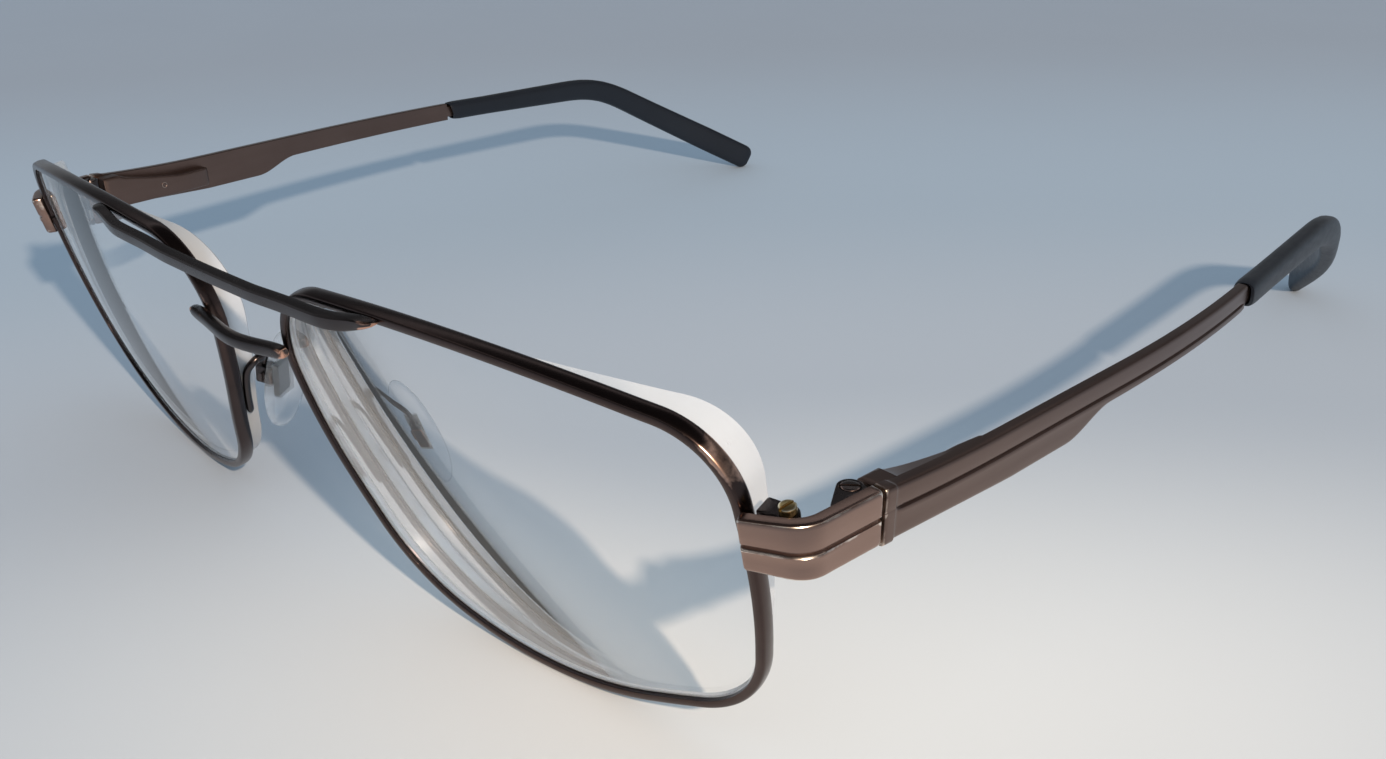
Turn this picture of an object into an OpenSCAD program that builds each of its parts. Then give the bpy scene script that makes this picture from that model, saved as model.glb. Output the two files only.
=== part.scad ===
// Metal navigator spectacles, standing open on the lower rims and the temple tips.
// Millimetres. +X is the wearer's left, the front faces -Y, +Z is up, Z = 0 is the table.

/* [Lens] */
// distance between the two lens centres
lens_gap = 73; // [71:0.5:76]
// forward lean of the front, in degrees
panto = 10.1; // [6:0.1:12]
// wrap of each lens round the face, in degrees
face_form = 6; // [4:0.5:7]
// radius of the lens's front curve
front_curve = 185; // [150:5:260]
// thickness at the middle
lens_thin = 1.2; // [1:0.1:2]
// growth of the thickness toward the sides, per square millimetre
power_u = 0.0036; // [0.0025:0.0001:0.004]
// growth of the thickness upward and downward, per square millimetre
power_v = 0.0018; // [0.001:0.0001:0.0025]
// slant of the left lens's cylinder
skew_left = 0.005; // [0:0.001:0.006]
// slant of the right lens's cylinder
skew_right = 0.001; // [0:0.001:0.006]

/* [Eyewire] */
// metal thickness round the lens
wire_t = 1; // [0.9:0.05:1.3]
// front to back depth
wire_d = 1.7; // [1.4:0.05:2]
// depth of the groove that holds the lens
groove_t = 0.4; // [0.3:0.05:0.5]
// width of the groove
groove_w = 0.6; // [0.5:0.05:0.8]
// cut at the temporal side, closed by the lock screw
split_gap = 0.3; // [0.2:0.05:0.5]

/* [Bars] */
// half length of the brow bar
bar_x = 26.4; // [26:0.2:28.4]
// height of the brow bar over the lens centres
bar_v = 16.2; // [15.6:0.1:17]
// thickness of the brow bar, up and down
bar_h = 1.25; // [1:0.05:1.6]
// depth of the brow bar
bar_d = 1.3; // [1:0.05:1.6]
// how far the brow bar stands forward between its ends
bar_bow = 0.9; // [0.5:0.1:1.5]
// half length of the lower bridge
bridge_x = 9; // [8.6:0.1:9.6]
// height of the lower bridge over the lens centres
bridge_v = 8.9; // [7:0.1:11]
// thickness of the lower bridge
bridge_h = 1.25; // [1:0.05:1.6]
// depth of the lower bridge
bridge_d = 1.2; // [1:0.05:1.5]
// how far the lower bridge bows forward
bridge_bow = 0.8; // [0.3:0.1:1.5]

/* [Endpiece and hinge] */
// height of the endpiece
end_h = 5.2; // [5:0.1:5.6]
// thickness of the endpiece
end_t = 1.3; // [1.2:0.05:1.4]
// depth of the long groove
line_d = 0.25; // [0.1:0.05:0.35]
// width of the long groove
line_w = 0.45; // [0.3:0.05:0.6]
// outer radius of the hinge knuckles
knuckle_r = 1.15; // [1.1:0.05:1.3]
// radius of the hinge screw's shank
pin_r = 0.5; // [0.45:0.05:0.55]
// radial clearance on pins and screws
run = 0.03; // [0.02:0.01:0.06]
// gap between neighbouring knuckles
knuckle_gap = 0.08; // [0.05:0.01:0.12]
// height of the middle knuckle
eye_h = 1.4; // [1.3:0.05:1.6]
// gap at the seam between endpiece and temple
seam = 0.08; // [0.06:0.01:0.15]
// radius of the rim lock screw
lock_r = 0.5; // [0.4:0.05:0.6]

/* [Temple] */
// length of the metal bar from the seam to the sleeve
bar_len = 69; // [62:0.1:75]
// thickness of the temple bar
temple_t = 1.25; // [1.2:0.05:1.5]
// outward lean of the temples, in degrees
splay = 5.3; // [4:0.1:6]
// downward slope of the temples, in degrees
temple_dip = 2.4; // [2:0.1:3]
// height of the bar at the seam
temple_h = 5.1; // [5:0.1:5.4]
// height of the wide part just before the step
wide_h = 5.2; // [5:0.1:5.6]
// height of the narrow part after the step
narrow_h = 3.3; // [3:0.1:4]
// height of the bar at the sleeve
rear_h = 3; // [2.8:0.1:3.4]
// distance of the long groove under the top edge
line_drop = 2.1; // [1.8:0.1:2.3]
// where the bar begins to bend inward
bend_s = 38; // [30:1:45]
// radius of that bend
bend_r = 230; // [180:10:400]
// where the step in the lower edge begins
step_s = 27.5; // [22:0.5:32]
// length of the raised collar at the seam
collar = 1.3; // [1:0.1:1.8]

/* [Spring hinge] */
// length of the spring box
box_len = 17.5; // [16.5:0.5:20]
// thickness of the spring box
box_t = 2.1; // [2:0.05:2.4]
// height of the spring box
box_h = 2.8; // [2.6:0.1:3.2]
// how far the eye and the spring box's slot lie under the endpiece's middle
eye_drop = 0.65; // [0.4:0.05:0.75]
// width of the slider's shank
shank_w = 1.1; // [1.05:0.05:1.2]
// height of the slider's shank
shank_h = 1.1; // [1.05:0.05:1.2]
// radius of the slider's tail rod
rod_r = 0.3; // [0.25:0.01:0.32]
// wire radius of the coil spring
coil_wire = 0.11; // [0.09:0.01:0.12]
// sliding clearance in the spring box
slide_gap = 0.05; // [0.04:0.01:0.08]

/* [Tips] */
// length of the sleeve along its curve
tip_len = 80.5; // [76:0.5:86]
// height of the sleeve at its mouth
tip_h = 3.3; // [3.2:0.1:4.2]
// height of the sleeve at its end
tip_end_h = 5.1; // [4.6:0.1:5.6]
// thickness of the sleeve
tip_t = 2.6; // [2.5:0.1:3.2]
// length of straight sleeve before it dips behind the ear
dip_s = 27; // [25:0.5:34]
// length of the dipping bend
dip_len = 20; // [16:1:26]
// how steeply it dips, in degrees
dip_angle = 26.97; // [26:0.01:30]
// length of sleeve before it turns in
turn_s = 31; // [24:1:32]
// length of the turn
turn_len = 41; // [34:1:46]
// how far it turns in behind the ear, in degrees
turn_in = 22.3; // [16:0.1:26]

/* [Nose pads] */
// height of a nose pad
pad_len = 13.5; // [12:0.5:15]
// width of a nose pad
pad_w = 7.4; // [6.5:0.1:8]
// thickness of a nose pad
pad_t = 2.4; // [2:0.1:2.8]
// half distance between the pad boxes
pad_x = 13.9; // [13.7:0.1:14.3]
// distance of the pad boxes behind the front's plane
pad_y = 6.3; // [6.2:0.1:6.8]
// how far the pad boxes lie under the lens centres
pad_low = 3.7; // [3.4:0.1:4]
// turn of the pads to the nose's sides, in degrees
pad_turn = 28; // [20:1:35]
// slope of the pads, in degrees
pad_slope = 14; // [8:1:20]
// how far under the lens centres the pad arms are soldered to the rims
arm_low = 7.6; // [7:0.1:8.2]
// radius of the pad arm's wire
arm_r = 0.45; // [0.4:0.05:0.55]
// radius of the pad screw
pad_screw_r = 0.35; // [0.3:0.05:0.4]

/* [Hidden] */
$fn = 32;
lens_x = lens_gap / 2;
dark = [0.17, 0.16, 0.165];
brown = [0.33, 0.26, 0.23];
steel = [0.75, 0.75, 0.77];
gold = [0.83, 0.67, 0.32];
black = [0.04, 0.045, 0.06];
clear = [0.9, 0.95, 1, 0.35];

// corners of the lens shape seen from the front, temporal side at +, each with its rounding
corners = [[26.7, -0.9, 52], [24.6, -15.1, 11.3], [0.7, -23.5, 35.3], [-18.1, -17.1, 16.6],
  [-26.5, 0.5, 47], [-30.1, 15.6, 8.5], [-1.6, 18.3, 141], [25.2, 13.8, 7.7]];
per_corner = 6;
split_v = 5.9;
// gap between faces that are soldered together
seat = 0.03;
// width and depth of the screws' slots
slit_w = 0.26;
slit_d = 0.24;

function turned(p, a, ax) = ax == 0 ? [p[0], p[1] * cos(a) - p[2] * sin(a), p[1] * sin(a) + p[2] * cos(a)]
  : ax == 1 ? [p[0] * cos(a) + p[2] * sin(a), p[1], -p[0] * sin(a) + p[2] * cos(a)]
  : [p[0] * cos(a) - p[1] * sin(a), p[0] * sin(a) + p[1] * cos(a), p[2]];
function unit(a) = a / norm(a);
function wrap(a) = a > 180 ? a - 360 : (a < -180 ? a + 360 : a);
function xy(c) = [c[0], c[1]];
function mix(a, b, t) = a + (b - a) * t;
function clamp(t) = max(0, min(1, t));
function ease(t) = clamp(t) * clamp(t) * (3 - 2 * clamp(t));

// one rounded corner: its centre, radius, first angle and turn
function arc_of(i) =
  let (n = len(corners), b = xy(corners[i]), r = corners[i][2],
    p = unit(xy(corners[(i + n - 1) % n]) - b), q = unit(xy(corners[(i + 1) % n]) - b),
    half = acos(p * q) / 2, o = b + unit(p + q) * r / sin(half),
    s = b + p * r / tan(half) - o, e = b + q * r / tan(half) - o, a = atan2(s[1], s[0]))
  [o, r, a, wrap(atan2(e[1], e[0]) - a)];
arcs = [for (i = [0:len(corners) - 1]) arc_of(i)];
// stations round the lens: place and outward direction, starting just under the split
rounds = [for (a = arcs, k = [0:per_corner])
  let (t = a[2] + a[3] * k / per_corner, d = [cos(t), sin(t)]) [a[0] + d * a[1], d]];
last = len(rounds) - 1;
function at_v(v) =
  let (a = rounds[0], b = rounds[last], t = (v - a[0][1]) / (b[0][1] - a[0][1]))
  [mix(a[0], b[0], t), unit(mix(a[1], b[1], t))];
open_loop = concat([at_v(split_v - split_gap / 2)], rounds, [at_v(split_v + split_gap / 2)]);
shut_loop = concat([at_v(split_v)], rounds);
function nasal_u(v) = min([for (i = [0:last - 1]) let (a = rounds[i][0], b = rounds[i + 1][0])
  if ((a[1] - v) * (b[1] - v) <= 0) mix(a[0], b[0], (v - a[1]) / (b[1] - a[1]))]);
function sag(u, v, r) = r - sqrt(r * r - u * u - v * v);

// closed skin through rings of points, with flat ends
function flat(l) = [for (a = l, b = a) b];
function back(l) = [for (i = [len(l) - 1:-1:0]) l[i]];
module skin(rings) {
  m = len(rings);
  n = len(rings[0]);
  sides = flat([for (i = [0:m - 2], j = [0:n - 1])
    let (a = i * n + j, b = i * n + (j + 1) % n, c = a + n, d = b + n)
    [[a, b, d], [a, d, c]]]);
  ends = [[for (j = [n - 1:-1:0]) j], [for (j = [0:n - 1]) (m - 1) * n + j]];
  polyhedron(points = flat(rings), faces = concat(sides, ends), convexity = 8);
}
// closed skin with a blind hole that starts at the first ring
module blind_skin(outer, inner) {
  m = len(outer);
  k = len(inner);
  n = len(outer[0]);
  o = m * n;
  sides = flat([for (i = [0:m - 2], j = [0:n - 1])
    let (a = i * n + j, b = i * n + (j + 1) % n, c = a + n, d = b + n)
    [[a, b, d], [a, d, c]]]);
  hole = flat([for (i = [0:k - 2], j = [0:n - 1])
    let (a = o + i * n + j, b = o + i * n + (j + 1) % n, c = a + n, d = b + n)
    [[a, d, b], [a, c, d]]]);
  mouth = flat([for (j = [0:n - 1]) let (h = (j + 1) % n)
    [[j, o + h, h], [j, o + j, o + h]]]);
  ends = [[for (j = [0:n - 1]) (m - 1) * n + j], [for (j = [n - 1:-1:0]) o + (k - 1) * n + j]];
  polyhedron(points = concat(flat(outer), flat(inner)), faces = concat(sides, hole, mouth, ends),
    convexity = 10);
}
// ring of a round-cornered bar: centre, side and up directions, half sizes
function bar_ring(p, s, u, a, b, n = 12) = [for (k = [0:n - 1])
  let (t = 360 * k / n + 180 / n, c = cos(t), e = sin(t), q = pow(pow(abs(c), 4) + pow(abs(e), 4), -0.25))
  p + s * a * c * q + u * b * e * q];

module face() translate([0, 0, face_z]) rotate([panto, 0, 0]) children();
module lens_frame() face() translate([lens_x, 0, 0]) rotate([0, 0, face_form]) children();

// eyewire with its groove, cut at the temporal side
wire_profile = [[0.08, 0], [0, 0.1], [0, wire_d / 2 - groove_w / 2], [groove_t, wire_d / 2 - groove_w / 4],
  [groove_t, wire_d / 2 + groove_w / 4], [0, wire_d / 2 + groove_w / 2], [0, wire_d - 0.1],
  [0.08, wire_d], [wire_t * 0.75, wire_d], [wire_t * 0.96, wire_d * 0.83], [wire_t, wire_d / 2],
  [wire_t * 0.96, wire_d * 0.17], [wire_t * 0.75, 0]];
function wire_point(s, p) = let (c = s[0] + s[1] * p[0])
  [c[0], sag(s[0][0], s[0][1], front_curve) + p[1], c[1]];
module rim_shape() skin(back([for (s = open_loop) [for (p = wire_profile) wire_point(s, p)]]));

// the rims stand on the table, which sets the height of the lens centres
function leaned(p) = turned([lens_x, 0, 0] + turned(p, face_form, 2), panto, 0);
face_z = -min([for (s = open_loop, p = wire_profile) leaned(wire_point(s, p))[2]]);
function from_lens(p) = [0, 0, face_z] + leaned(p);

// lens: bevel in the groove, front and back curves, rim of the lens stands out behind
lens_fit = 0.04;
bevel = groove_t - lens_fit;
// shares of the lens at which its curves are drawn
lens_rings = [0.03, 0.35, 0.7, 1];
lip_w = wire_d * 0.25;
bevel_w = groove_w / 2 - 0.03;
function back_w(u, v, skew) = lip_w + sag(u, v, front_curve) + lens_thin
  + power_u * u * u + power_v * v * v + skew * u * v;
function lens_loop(off) = [for (s = shut_loop) s[0] + s[1] * off];
function scaled(k) = [for (s = lens_loop(-lens_fit)) s * k];
function front_ring(l, w) = [for (c = l) [c[0], sag(c[0], c[1], front_curve) + w, c[1]]];
function back_ring(l, skew) = [for (c = l) [c[0], back_w(c[0], c[1], skew), c[1]]];
module lens_shape(skew) {
  rings = concat([for (k = lens_rings) front_ring(scaled(k), lip_w)],
    [front_ring(lens_loop(-lens_fit), wire_d / 2 - bevel_w),
    front_ring(lens_loop(bevel), wire_d / 2),
    front_ring(lens_loop(-lens_fit), wire_d / 2 + bevel_w)],
    [for (k = back(lens_rings)) back_ring(scaled(k), skew)]);
  skin(back(rings));
}

// brow bar, in front of the rims, touching them at its ends
// rise of the bar from the middle to its ends, and the lift of the tapered ends
bar_rise = 0.8;
bar_lift = 0.45;
// length of the tapered end, and of the stretch over which the bar comes back to the rim
bar_taper = 5;
bar_return = 6.5;
// the bar passes free of the rims up to here, then follows their fronts
bar_free = 8;
bar_ahead = 0.45;
bar_shares = [0, 0.19, 0.37, 0.52, 0.67, 0.78, 0.85, 0.91, 0.956, 0.985, 1];
bar_last = len(bar_shares) - 1;
function rim_face(x) = (x - lens_x) * sin(face_form)
  + sag(x - lens_x, bar_v + bar_rise, front_curve) * cos(face_form);
function bar_x_at(i) = sign(i) * bar_shares[abs(i)] * bar_x;
function bar_point(x) =
  let (a = abs(x), near = ease((a - bar_free) / bar_free), end = ease((a - bar_x + bar_taper) / bar_taper),
    out = 1 - ease((a - bar_x + bar_return + 1) / bar_return))
  [x, rim_face(a) * near - bar_ahead * (1 - near) - bar_d / 2 - seat - bar_bow * out,
    bar_v + bar_rise * pow(a / bar_x, 2) + bar_lift * end];
function bar_size(x) = 1 - 0.75 * pow(clamp((abs(x) - bar_x + bar_taper) / bar_taper), 2);
module brow_bar() color(dark) place() face() skin([for (i = [bar_last:-1:-bar_last])
  let (x = bar_x_at(i))
  bar_ring(bar_point(x), [0, 1, 0], [0, 0, 1], bar_d / 2, bar_h / 2 * bar_size(x))]);

// lower bridge, its ends on the nasal fronts of the rims
bridge_back = -0.72;
bridge_rise = 0.5;
bridge_steps = 9;
module bridge() color(dark) place() face() skin([for (i = [bridge_steps:-1:-bridge_steps])
  let (x = bridge_x * sin(90 * i / bridge_steps), a = clamp(abs(x) / bridge_x),
    y = bridge_back - bridge_d / 2 - bridge_bow * (1 - ease(a * 1.05)))
  bar_ring([x, y, bridge_v + bridge_rise * a * a], [0, 1, 0], [0, 0, 1], bridge_d / 2,
    bridge_h / 2 * sqrt(1 - 0.6 * pow(a, 12)))]);

// the rim's outer front edge at the split, in the whole model's frame
rim_u = at_v(split_v)[0][0] + wire_t;
rim_edge = from_lens([rim_u, sag(rim_u, split_v, front_curve), split_v]);

// endpiece: a grooved plate that starts in front of the rim and wraps back to the hinge
// slant of its front part, and of its side part away from straight back
end_in = 22.5;
end_out = 9;
// lengths of the front and side parts, radius of the corner between them
end_straight = 3.5;
end_side = 6;
end_round = 3.5;
// clearance to the rim, sideways and in front
end_lap = 0.2;
end_gap = 0.3;
end_x = rim_edge[0] + end_lap;
end_y = rim_edge[1] - end_gap - end_t * cos(end_in);
pin_z = rim_edge[2] + 0.1;
end_turn = 90 - end_in - end_out;
end_arc = end_round * end_turn * PI / 180;
function heading(a) = [cos(a), sin(a)];
function end_dir(s) = end_in + clamp((s - end_straight) / end_arc) * end_turn;
end_corner = [end_x, end_y] + end_straight * heading(end_in);
function end_at(s) = s < end_straight ? [end_x, end_y] + s * heading(end_in)
  : end_corner + end_round * (heading(end_in + 90) + heading(end_dir(s) - 90))
    + max(0, s - end_straight - end_arc) * heading(end_dir(s));
end_total = end_straight + end_arc + end_side;
end_tip = end_at(end_total);
end_bevel = 0.25;
end_stops = concat([0, end_bevel, end_straight], [for (k = [1:8]) end_straight + end_arc * k / 8],
  [mix(end_straight + end_arc, end_total, 0.5), end_total]);
// profile across the plate: distance inward from the outer face, height
function plate(h, t, g, w, c = 0.18) = [[c, h / 2], [t, h / 2], [t, -h / 2], [c, -h / 2], [0, -h / 2 + c],
  [0, -w / 2], [g, -w / 2 + 0.06], [g, w / 2 - 0.06], [0, w / 2], [0, h / 2 - c]];
module endpiece_shape() skin([for (s = end_stops)
  let (p = end_at(s), inw = heading(end_dir(s) + 90),
    lean = tan(panto) * (1 - ease(s / (end_straight + end_arc))))
  [for (q = plate(end_h - (s == 0 ? end_bevel : 0), end_t, line_d, line_w))
    [p[0] + inw[0] * q[0], p[1] + inw[1] * q[0] - lean * q[1], pin_z + q[1]]]]);

// knuckles of the endpiece: two leaves round the eye, joined in front of it
pin_in = end_t + seat + knuckle_r;
pin_back = 1.1;
head_r = 0.85;
head_h = 0.5;
pin_x = end_tip[0] - pin_in * cos(end_out) - pin_back * sin(end_out);
pin_y = end_tip[1] + pin_in * sin(end_out) - pin_back * cos(end_out);
module pin_frame() translate([pin_x, pin_y, pin_z]) children();
module eye_frame() pin_frame() translate([0, 0, -eye_drop]) children();
// length of the two leaves, and of the web that joins them
leaf_len = 3.5;
web_len = 1;
// the leaves end a little under the endpiece's edges and leave room for the eye
leaf_inset = 0.2;
pin_top = end_h / 2 - leaf_inset;
eye_room = eye_h / 2 + knuckle_gap;
// the point where a line from the leaf's front corner touches the round knuckle
leaf_corner = [knuckle_r, -leaf_len];
function touch(q, r) = let (d = q * q, k = r * sqrt(d - r * r) / d) q * r * r / d + k * [q[1], -q[0]];
module leaf_plan() {
  circle(r = knuckle_r, $fn = 48);
  polygon([leaf_corner, [knuckle_r, pin_back - 0.06], [0, 0], touch(leaf_corner, knuckle_r)]);
}
module knuckles_shape() pin_frame() difference() {
  rotate([0, 0, -end_out]) union() {
    translate([0, 0, eye_room - eye_drop]) linear_extrude(pin_top - eye_room + eye_drop) leaf_plan();
    translate([0, 0, -pin_top]) linear_extrude(pin_top - eye_room - eye_drop) leaf_plan();
    translate([0, 0, -pin_top]) linear_extrude(2 * pin_top) intersection() {
      leaf_plan();
      translate([-knuckle_r, -leaf_len]) square([2 * knuckle_r, web_len]);
    }
  }
  translate([0, 0, -2 * pin_top]) cylinder(r = pin_r + run, h = 4 * pin_top, $fn = 48);
  translate([0, 0, pin_top - head_h + 0.05]) cylinder(r = head_r + run, h = 2 * head_h, $fn = 48);
}

// hinge screw: slotted head sunk in the upper leaf
module hinge_screw_shape() pin_frame() difference() {
  union() {
    translate([0, 0, -pin_top]) cylinder(r = pin_r, h = 2 * pin_top - head_h / 2, $fn = 48);
    translate([0, 0, pin_top - head_h + 0.08]) cylinder(r = head_r, h = head_h, $fn = 48);
  }
  translate([-1, -slit_w / 2, pin_top + 0.08 - slit_d]) cube([2, slit_w, 1]);
}

// closing blocks on the two ends of the cut eyewire, and their screw
block_u = rim_u + 0.15;
block_w = sag(block_u, split_v, front_curve) + 0.95;
block_l = 2.4;
block_d = 1.9;
block_h = 1.9;
lock_head_h = 0.75;
module at_screw() translate([block_u + block_l, block_w + block_d / 2, split_v]) children();
module block(low) at_screw() difference() {
  translate([0, 0, low]) union() {
    translate([-block_l, -block_d / 2, 0]) cube([block_l, block_d, block_h]);
    cylinder(r = block_d / 2, h = block_h, $fn = 40);
  }
  translate([0, 0, -2 * block_h]) cylinder(r = lock_r + run, h = 4 * block_h, $fn = 40);
}
module lock_screw_shape() at_screw() difference() {
  union() {
    translate([0, 0, -split_gap / 2 - block_h + 0.2]) cylinder(r = lock_r, h = 2 * block_h + 0.4, $fn = 40);
    translate([0, 0, split_gap / 2 + block_h + seat]) cylinder(r = head_r, h = lock_head_h, $fn = 40);
  }
  translate([-slit_w / 2, -1, split_gap / 2 + block_h + seat + lock_head_h - slit_d]) cube([slit_w, 2, 1]);
}

// temple frame: origin on the outer face at the seam, +Y along the bar
collar_h = 0.16;
seam_lean = (temple_h / 2 + collar_h) * sin(temple_dip) + temple_t * sin(end_out - splay);
temple_at = [end_tip[0], end_tip[1] + seam + seam_lean, pin_z - 0.1];
function in_temple(p) = temple_at + turned(turned(p, -temple_dip, 0), -splay, 2);
module temple_frame() translate(temple_at) rotate([-temple_dip, 0, -splay]) children();
shoulder = 18;
top_end = 1.75;
function bend_x(s) = -pow(max(0, s - bend_s), 2) / (2 * bend_r);
function temple_top(s) = mix(temple_h / 2, top_end, 1 - pow(1 - clamp(s / shoulder), 2));
function wide_low(s) = mix(-temple_h / 2, top_end - wide_h, clamp(s / shoulder));
function rear_low(s) = top_end - mix(narrow_h, rear_h, clamp((s - step_s) / (bar_len - step_s)));
function temple_low(s) = mix(wide_low(s), rear_low(s), ease((s - step_s) / step_len));
step_len = 7.5;
// profile: outer face with a long groove, edges rounded
function temple_ring(s, grow = 0) =
  let (a = temple_top(s) + grow, b = temple_low(s) - grow, g = min(temple_top(s) - line_drop, a - 1),
    d = grow > 0 ? 0.02 : line_d, c = 0.18, o = grow + bend_x(s), i = bend_x(s) - temple_t)
  [[o - c, s, a], [i, s, a], [i, s, b], [o - c, s, b], [o, s, b + c],
    [o, s, g - line_w / 2], [o - d, s, g - line_w / 2 + 0.06], [o - d, s, g + line_w / 2 - 0.06],
    [o, s, g + line_w / 2], [o, s, a - c]];
collar_end = collar + 0.15;
bar_end = bar_len - 1;
step_end = step_s + step_len;
temple_stops = concat([for (k = [0:4]) mix(collar_end, shoulder, k / 4)],
  [mix(shoulder, step_s, 0.5)], [for (k = [0:7]) mix(step_s, step_end, k / 7)],
  [for (k = [1:5]) mix(step_end, bar_end, k / 5)]);
core_end = tip_len - 6;
core_n = 14;
// the sleeve's centre line, in the temple frame
tip_steps = 40;
bend_angle = (bar_len - bend_s) / bend_r * 180 / PI;
function tip_pitch(s) = dip_angle * ease((s - dip_s) / dip_len);
function tip_yaw(s) = bend_angle + turn_in * ease((s - turn_s) / turn_len);
function tip_dir(s) = let (p = tip_pitch(s) + 1, y = tip_yaw(s)) [-sin(y) * cos(p), cos(y) * cos(p), -sin(p)];
tip_z = (temple_top(bar_len) + temple_low(bar_len)) / 2;
tip_step = tip_len / tip_steps;
function tip_walk(i, p) = i == 0 ? [p] :
  concat([p], tip_walk(i - 1, p + tip_dir(tip_step * (tip_steps - i + 0.5)) * tip_step));
tip_path = tip_walk(tip_steps, [bend_x(bar_len) - temple_t / 2, bar_len, tip_z]);
function tip_pos(s) = let (f = clamp(s / tip_len) * tip_steps, i = min(tip_steps - 1, floor(f)))
  mix(tip_path[i], tip_path[i + 1], f - i);
function tip_side(s) = let (y = tip_yaw(s)) [cos(y), sin(y), 0];
function tip_up(s) = cross(tip_side(s), tip_dir(s));
// half thickness and half height of the wire inside the sleeve, at its start and end
core_a = [0.6, 0.45];
core_b = [1.05, 0.8];
core_gap = 0.06;
core_stops = [for (k = [0:core_n]) core_end * k / core_n];
module temple_shape() temple_frame() skin(concat(
  [for (s = [0, collar]) temple_ring(s, collar_h)],
  [for (s = temple_stops) temple_ring(s)],
  [for (s = core_stops) core_ring(s)]));
// the wire's ring in the same point order as the bar's profile
function core_ring(s) = let (t = clamp(s / core_end), a = mix(core_a[0], core_a[1], t),
    b = mix(core_b[0], core_b[1], t), p = tip_pos(s), d = tip_side(s), u = tip_up(s))
  [for (q = [[0.75, 1], [-1, 1], [-1, -1], [0.75, -1], [1, -0.8], [1, -0.35], [0.94, -0.2],
    [0.94, 0.2], [1, 0.35], [1, 0.8]]) p + d * a * q[0] + u * b * q[1]];
// lengths of the rounded mouth and end, and of the stretch over which the sleeve grows taller
mouth_len = 1.5;
end_len = 2;
tall_from = 8;
tall_len = tip_len - 20;
tip_stops = concat([0, mouth_len / 3], [for (k = [0:20]) mix(mouth_len, tip_len - end_len, k / 20)],
  [for (k = [0.5, 0.8, 1]) tip_len - end_len + end_len * k]);
function tip_tall(s) = mix(tip_h, tip_end_h, clamp((s - tall_from) / tall_len));
function tip_cap(s) = s < mouth_len ? 0.9 + 0.1 * sqrt(s / mouth_len)
  : sqrt(1 - 0.55 * pow(max(0, s - tip_len + end_len) / end_len, 3));
function tip_ring(s) = bar_ring(tip_pos(s), tip_side(s), tip_up(s),
  tip_t / 2 * tip_cap(s) * mix(1, 0.86, clamp(s / tip_len)), tip_tall(s) / 2 * tip_cap(s), 16);
// the sleeve's hole is rounder than the wire, so it is drawn wider to clear the corners
hole_scale = 1.2;
function hole_ring(s) = let (t = clamp(s / core_end))
  bar_ring(tip_pos(s), tip_side(s), tip_up(s), (mix(core_a[0], core_a[1], t) + core_gap) * hole_scale,
    (mix(core_b[0], core_b[1], t) + core_gap) * hole_scale, 16);
module tip_shape() temple_frame() blind_skin([for (s = tip_stops) tip_ring(s)],
  [for (k = [0:core_n]) hole_ring(core_end * k / core_n + (k == core_n ? 2 * core_gap : 0))]);

// spring box on the temple's inner face, with the slider, its spring and the stop
// its distance from the seam and how far it sits under the slider's line
box_y = 0.35;
box_low = 0.35;
box_x = -temple_t - box_t;
box_bottom = -eye_drop - box_low - box_h / 2;
box_top = box_bottom + box_h;
// the box's front part rises to the temple's top edge, over this length and with this slope's length
hood_top = temple_h / 2 - 0.3;
hood_len = 2.9;
hood_slope = 2;
hood_bevel = 0.5;
box_bevel = 0.3;
rear_bevel = 0.9;
// the long bevel starts this far inside the slope
bevel_over = 0.1;
// the hinge screw's axis seen in the temple frame
line_x = (pin_x - temple_at[0]) * cos(splay) - (pin_y - temple_at[1]) * sin(splay);
peg_r = 0.4;
peg_gap = 0.02;
// the slot through the box, and the stop bushing that closes it
slot_w = shank_w + 2 * slide_gap;
slot_h = shank_h + 2 * slide_gap;
slot_end = 1.2;
stop_s = 8.2;
stop_len = 2;
stop_gap = 0.01;
// where the shank, the tail rod and its nut begin and end
shank_start = -0.9;
shank_len = 6.4;
shank_end = box_y + shank_len;
rod_back = 2.2;
rod_end = box_y + box_len - rod_back;
nut_r = 0.52;
nut_h = 0.65;
module on_line(s) temple_frame() translate([line_x, s, -eye_drop]) children();
module along(r, h) rotate([-90, 0, 0]) cylinder(r = r, h = h, $fn = 32);
module inward(r, h) rotate([0, -90, 0]) cylinder(r = r, h = h, $fn = 32);
// wedges that bevel an edge along the box, and the edge at its rear
module along_bevel(z, s, len, c) temple_frame() translate([box_x, s, z]) rotate([-90, 0, 0])
  linear_extrude(len) polygon([[-c, -c], [2 * c, -c], [-c, 2 * c]]);
module rear_cut() temple_frame() translate([box_x, box_y + box_len, box_bottom - 1])
  linear_extrude(box_h + 2) polygon([[-rear_bevel, rear_bevel], [-rear_bevel, -2 * rear_bevel],
    [2 * rear_bevel, rear_bevel]]);
module spring_box_shape() difference() {
  temple_frame() translate([box_x, 0, 0]) rotate([90, 0, 90]) linear_extrude(box_t - seat)
    polygon([[box_y, box_bottom], [box_y + box_len, box_bottom], [box_y + box_len, box_top],
      [hood_len + hood_slope, box_top], [hood_len, hood_top], [box_y, hood_top]]);
  along_bevel(hood_top, box_y - 1, hood_len + 1, hood_bevel);
  along_bevel(box_top, hood_len + hood_slope - bevel_over, box_len, box_bevel);
  rear_cut();
  on_line(box_y - 1) translate([-slot_w / 2, 0, -slot_h / 2]) cube([slot_w, box_len + 1 - slot_end, slot_h]);
  on_line(box_y + stop_s + stop_len / 2) inward(peg_r + peg_gap, 2 * box_t);
}
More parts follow.
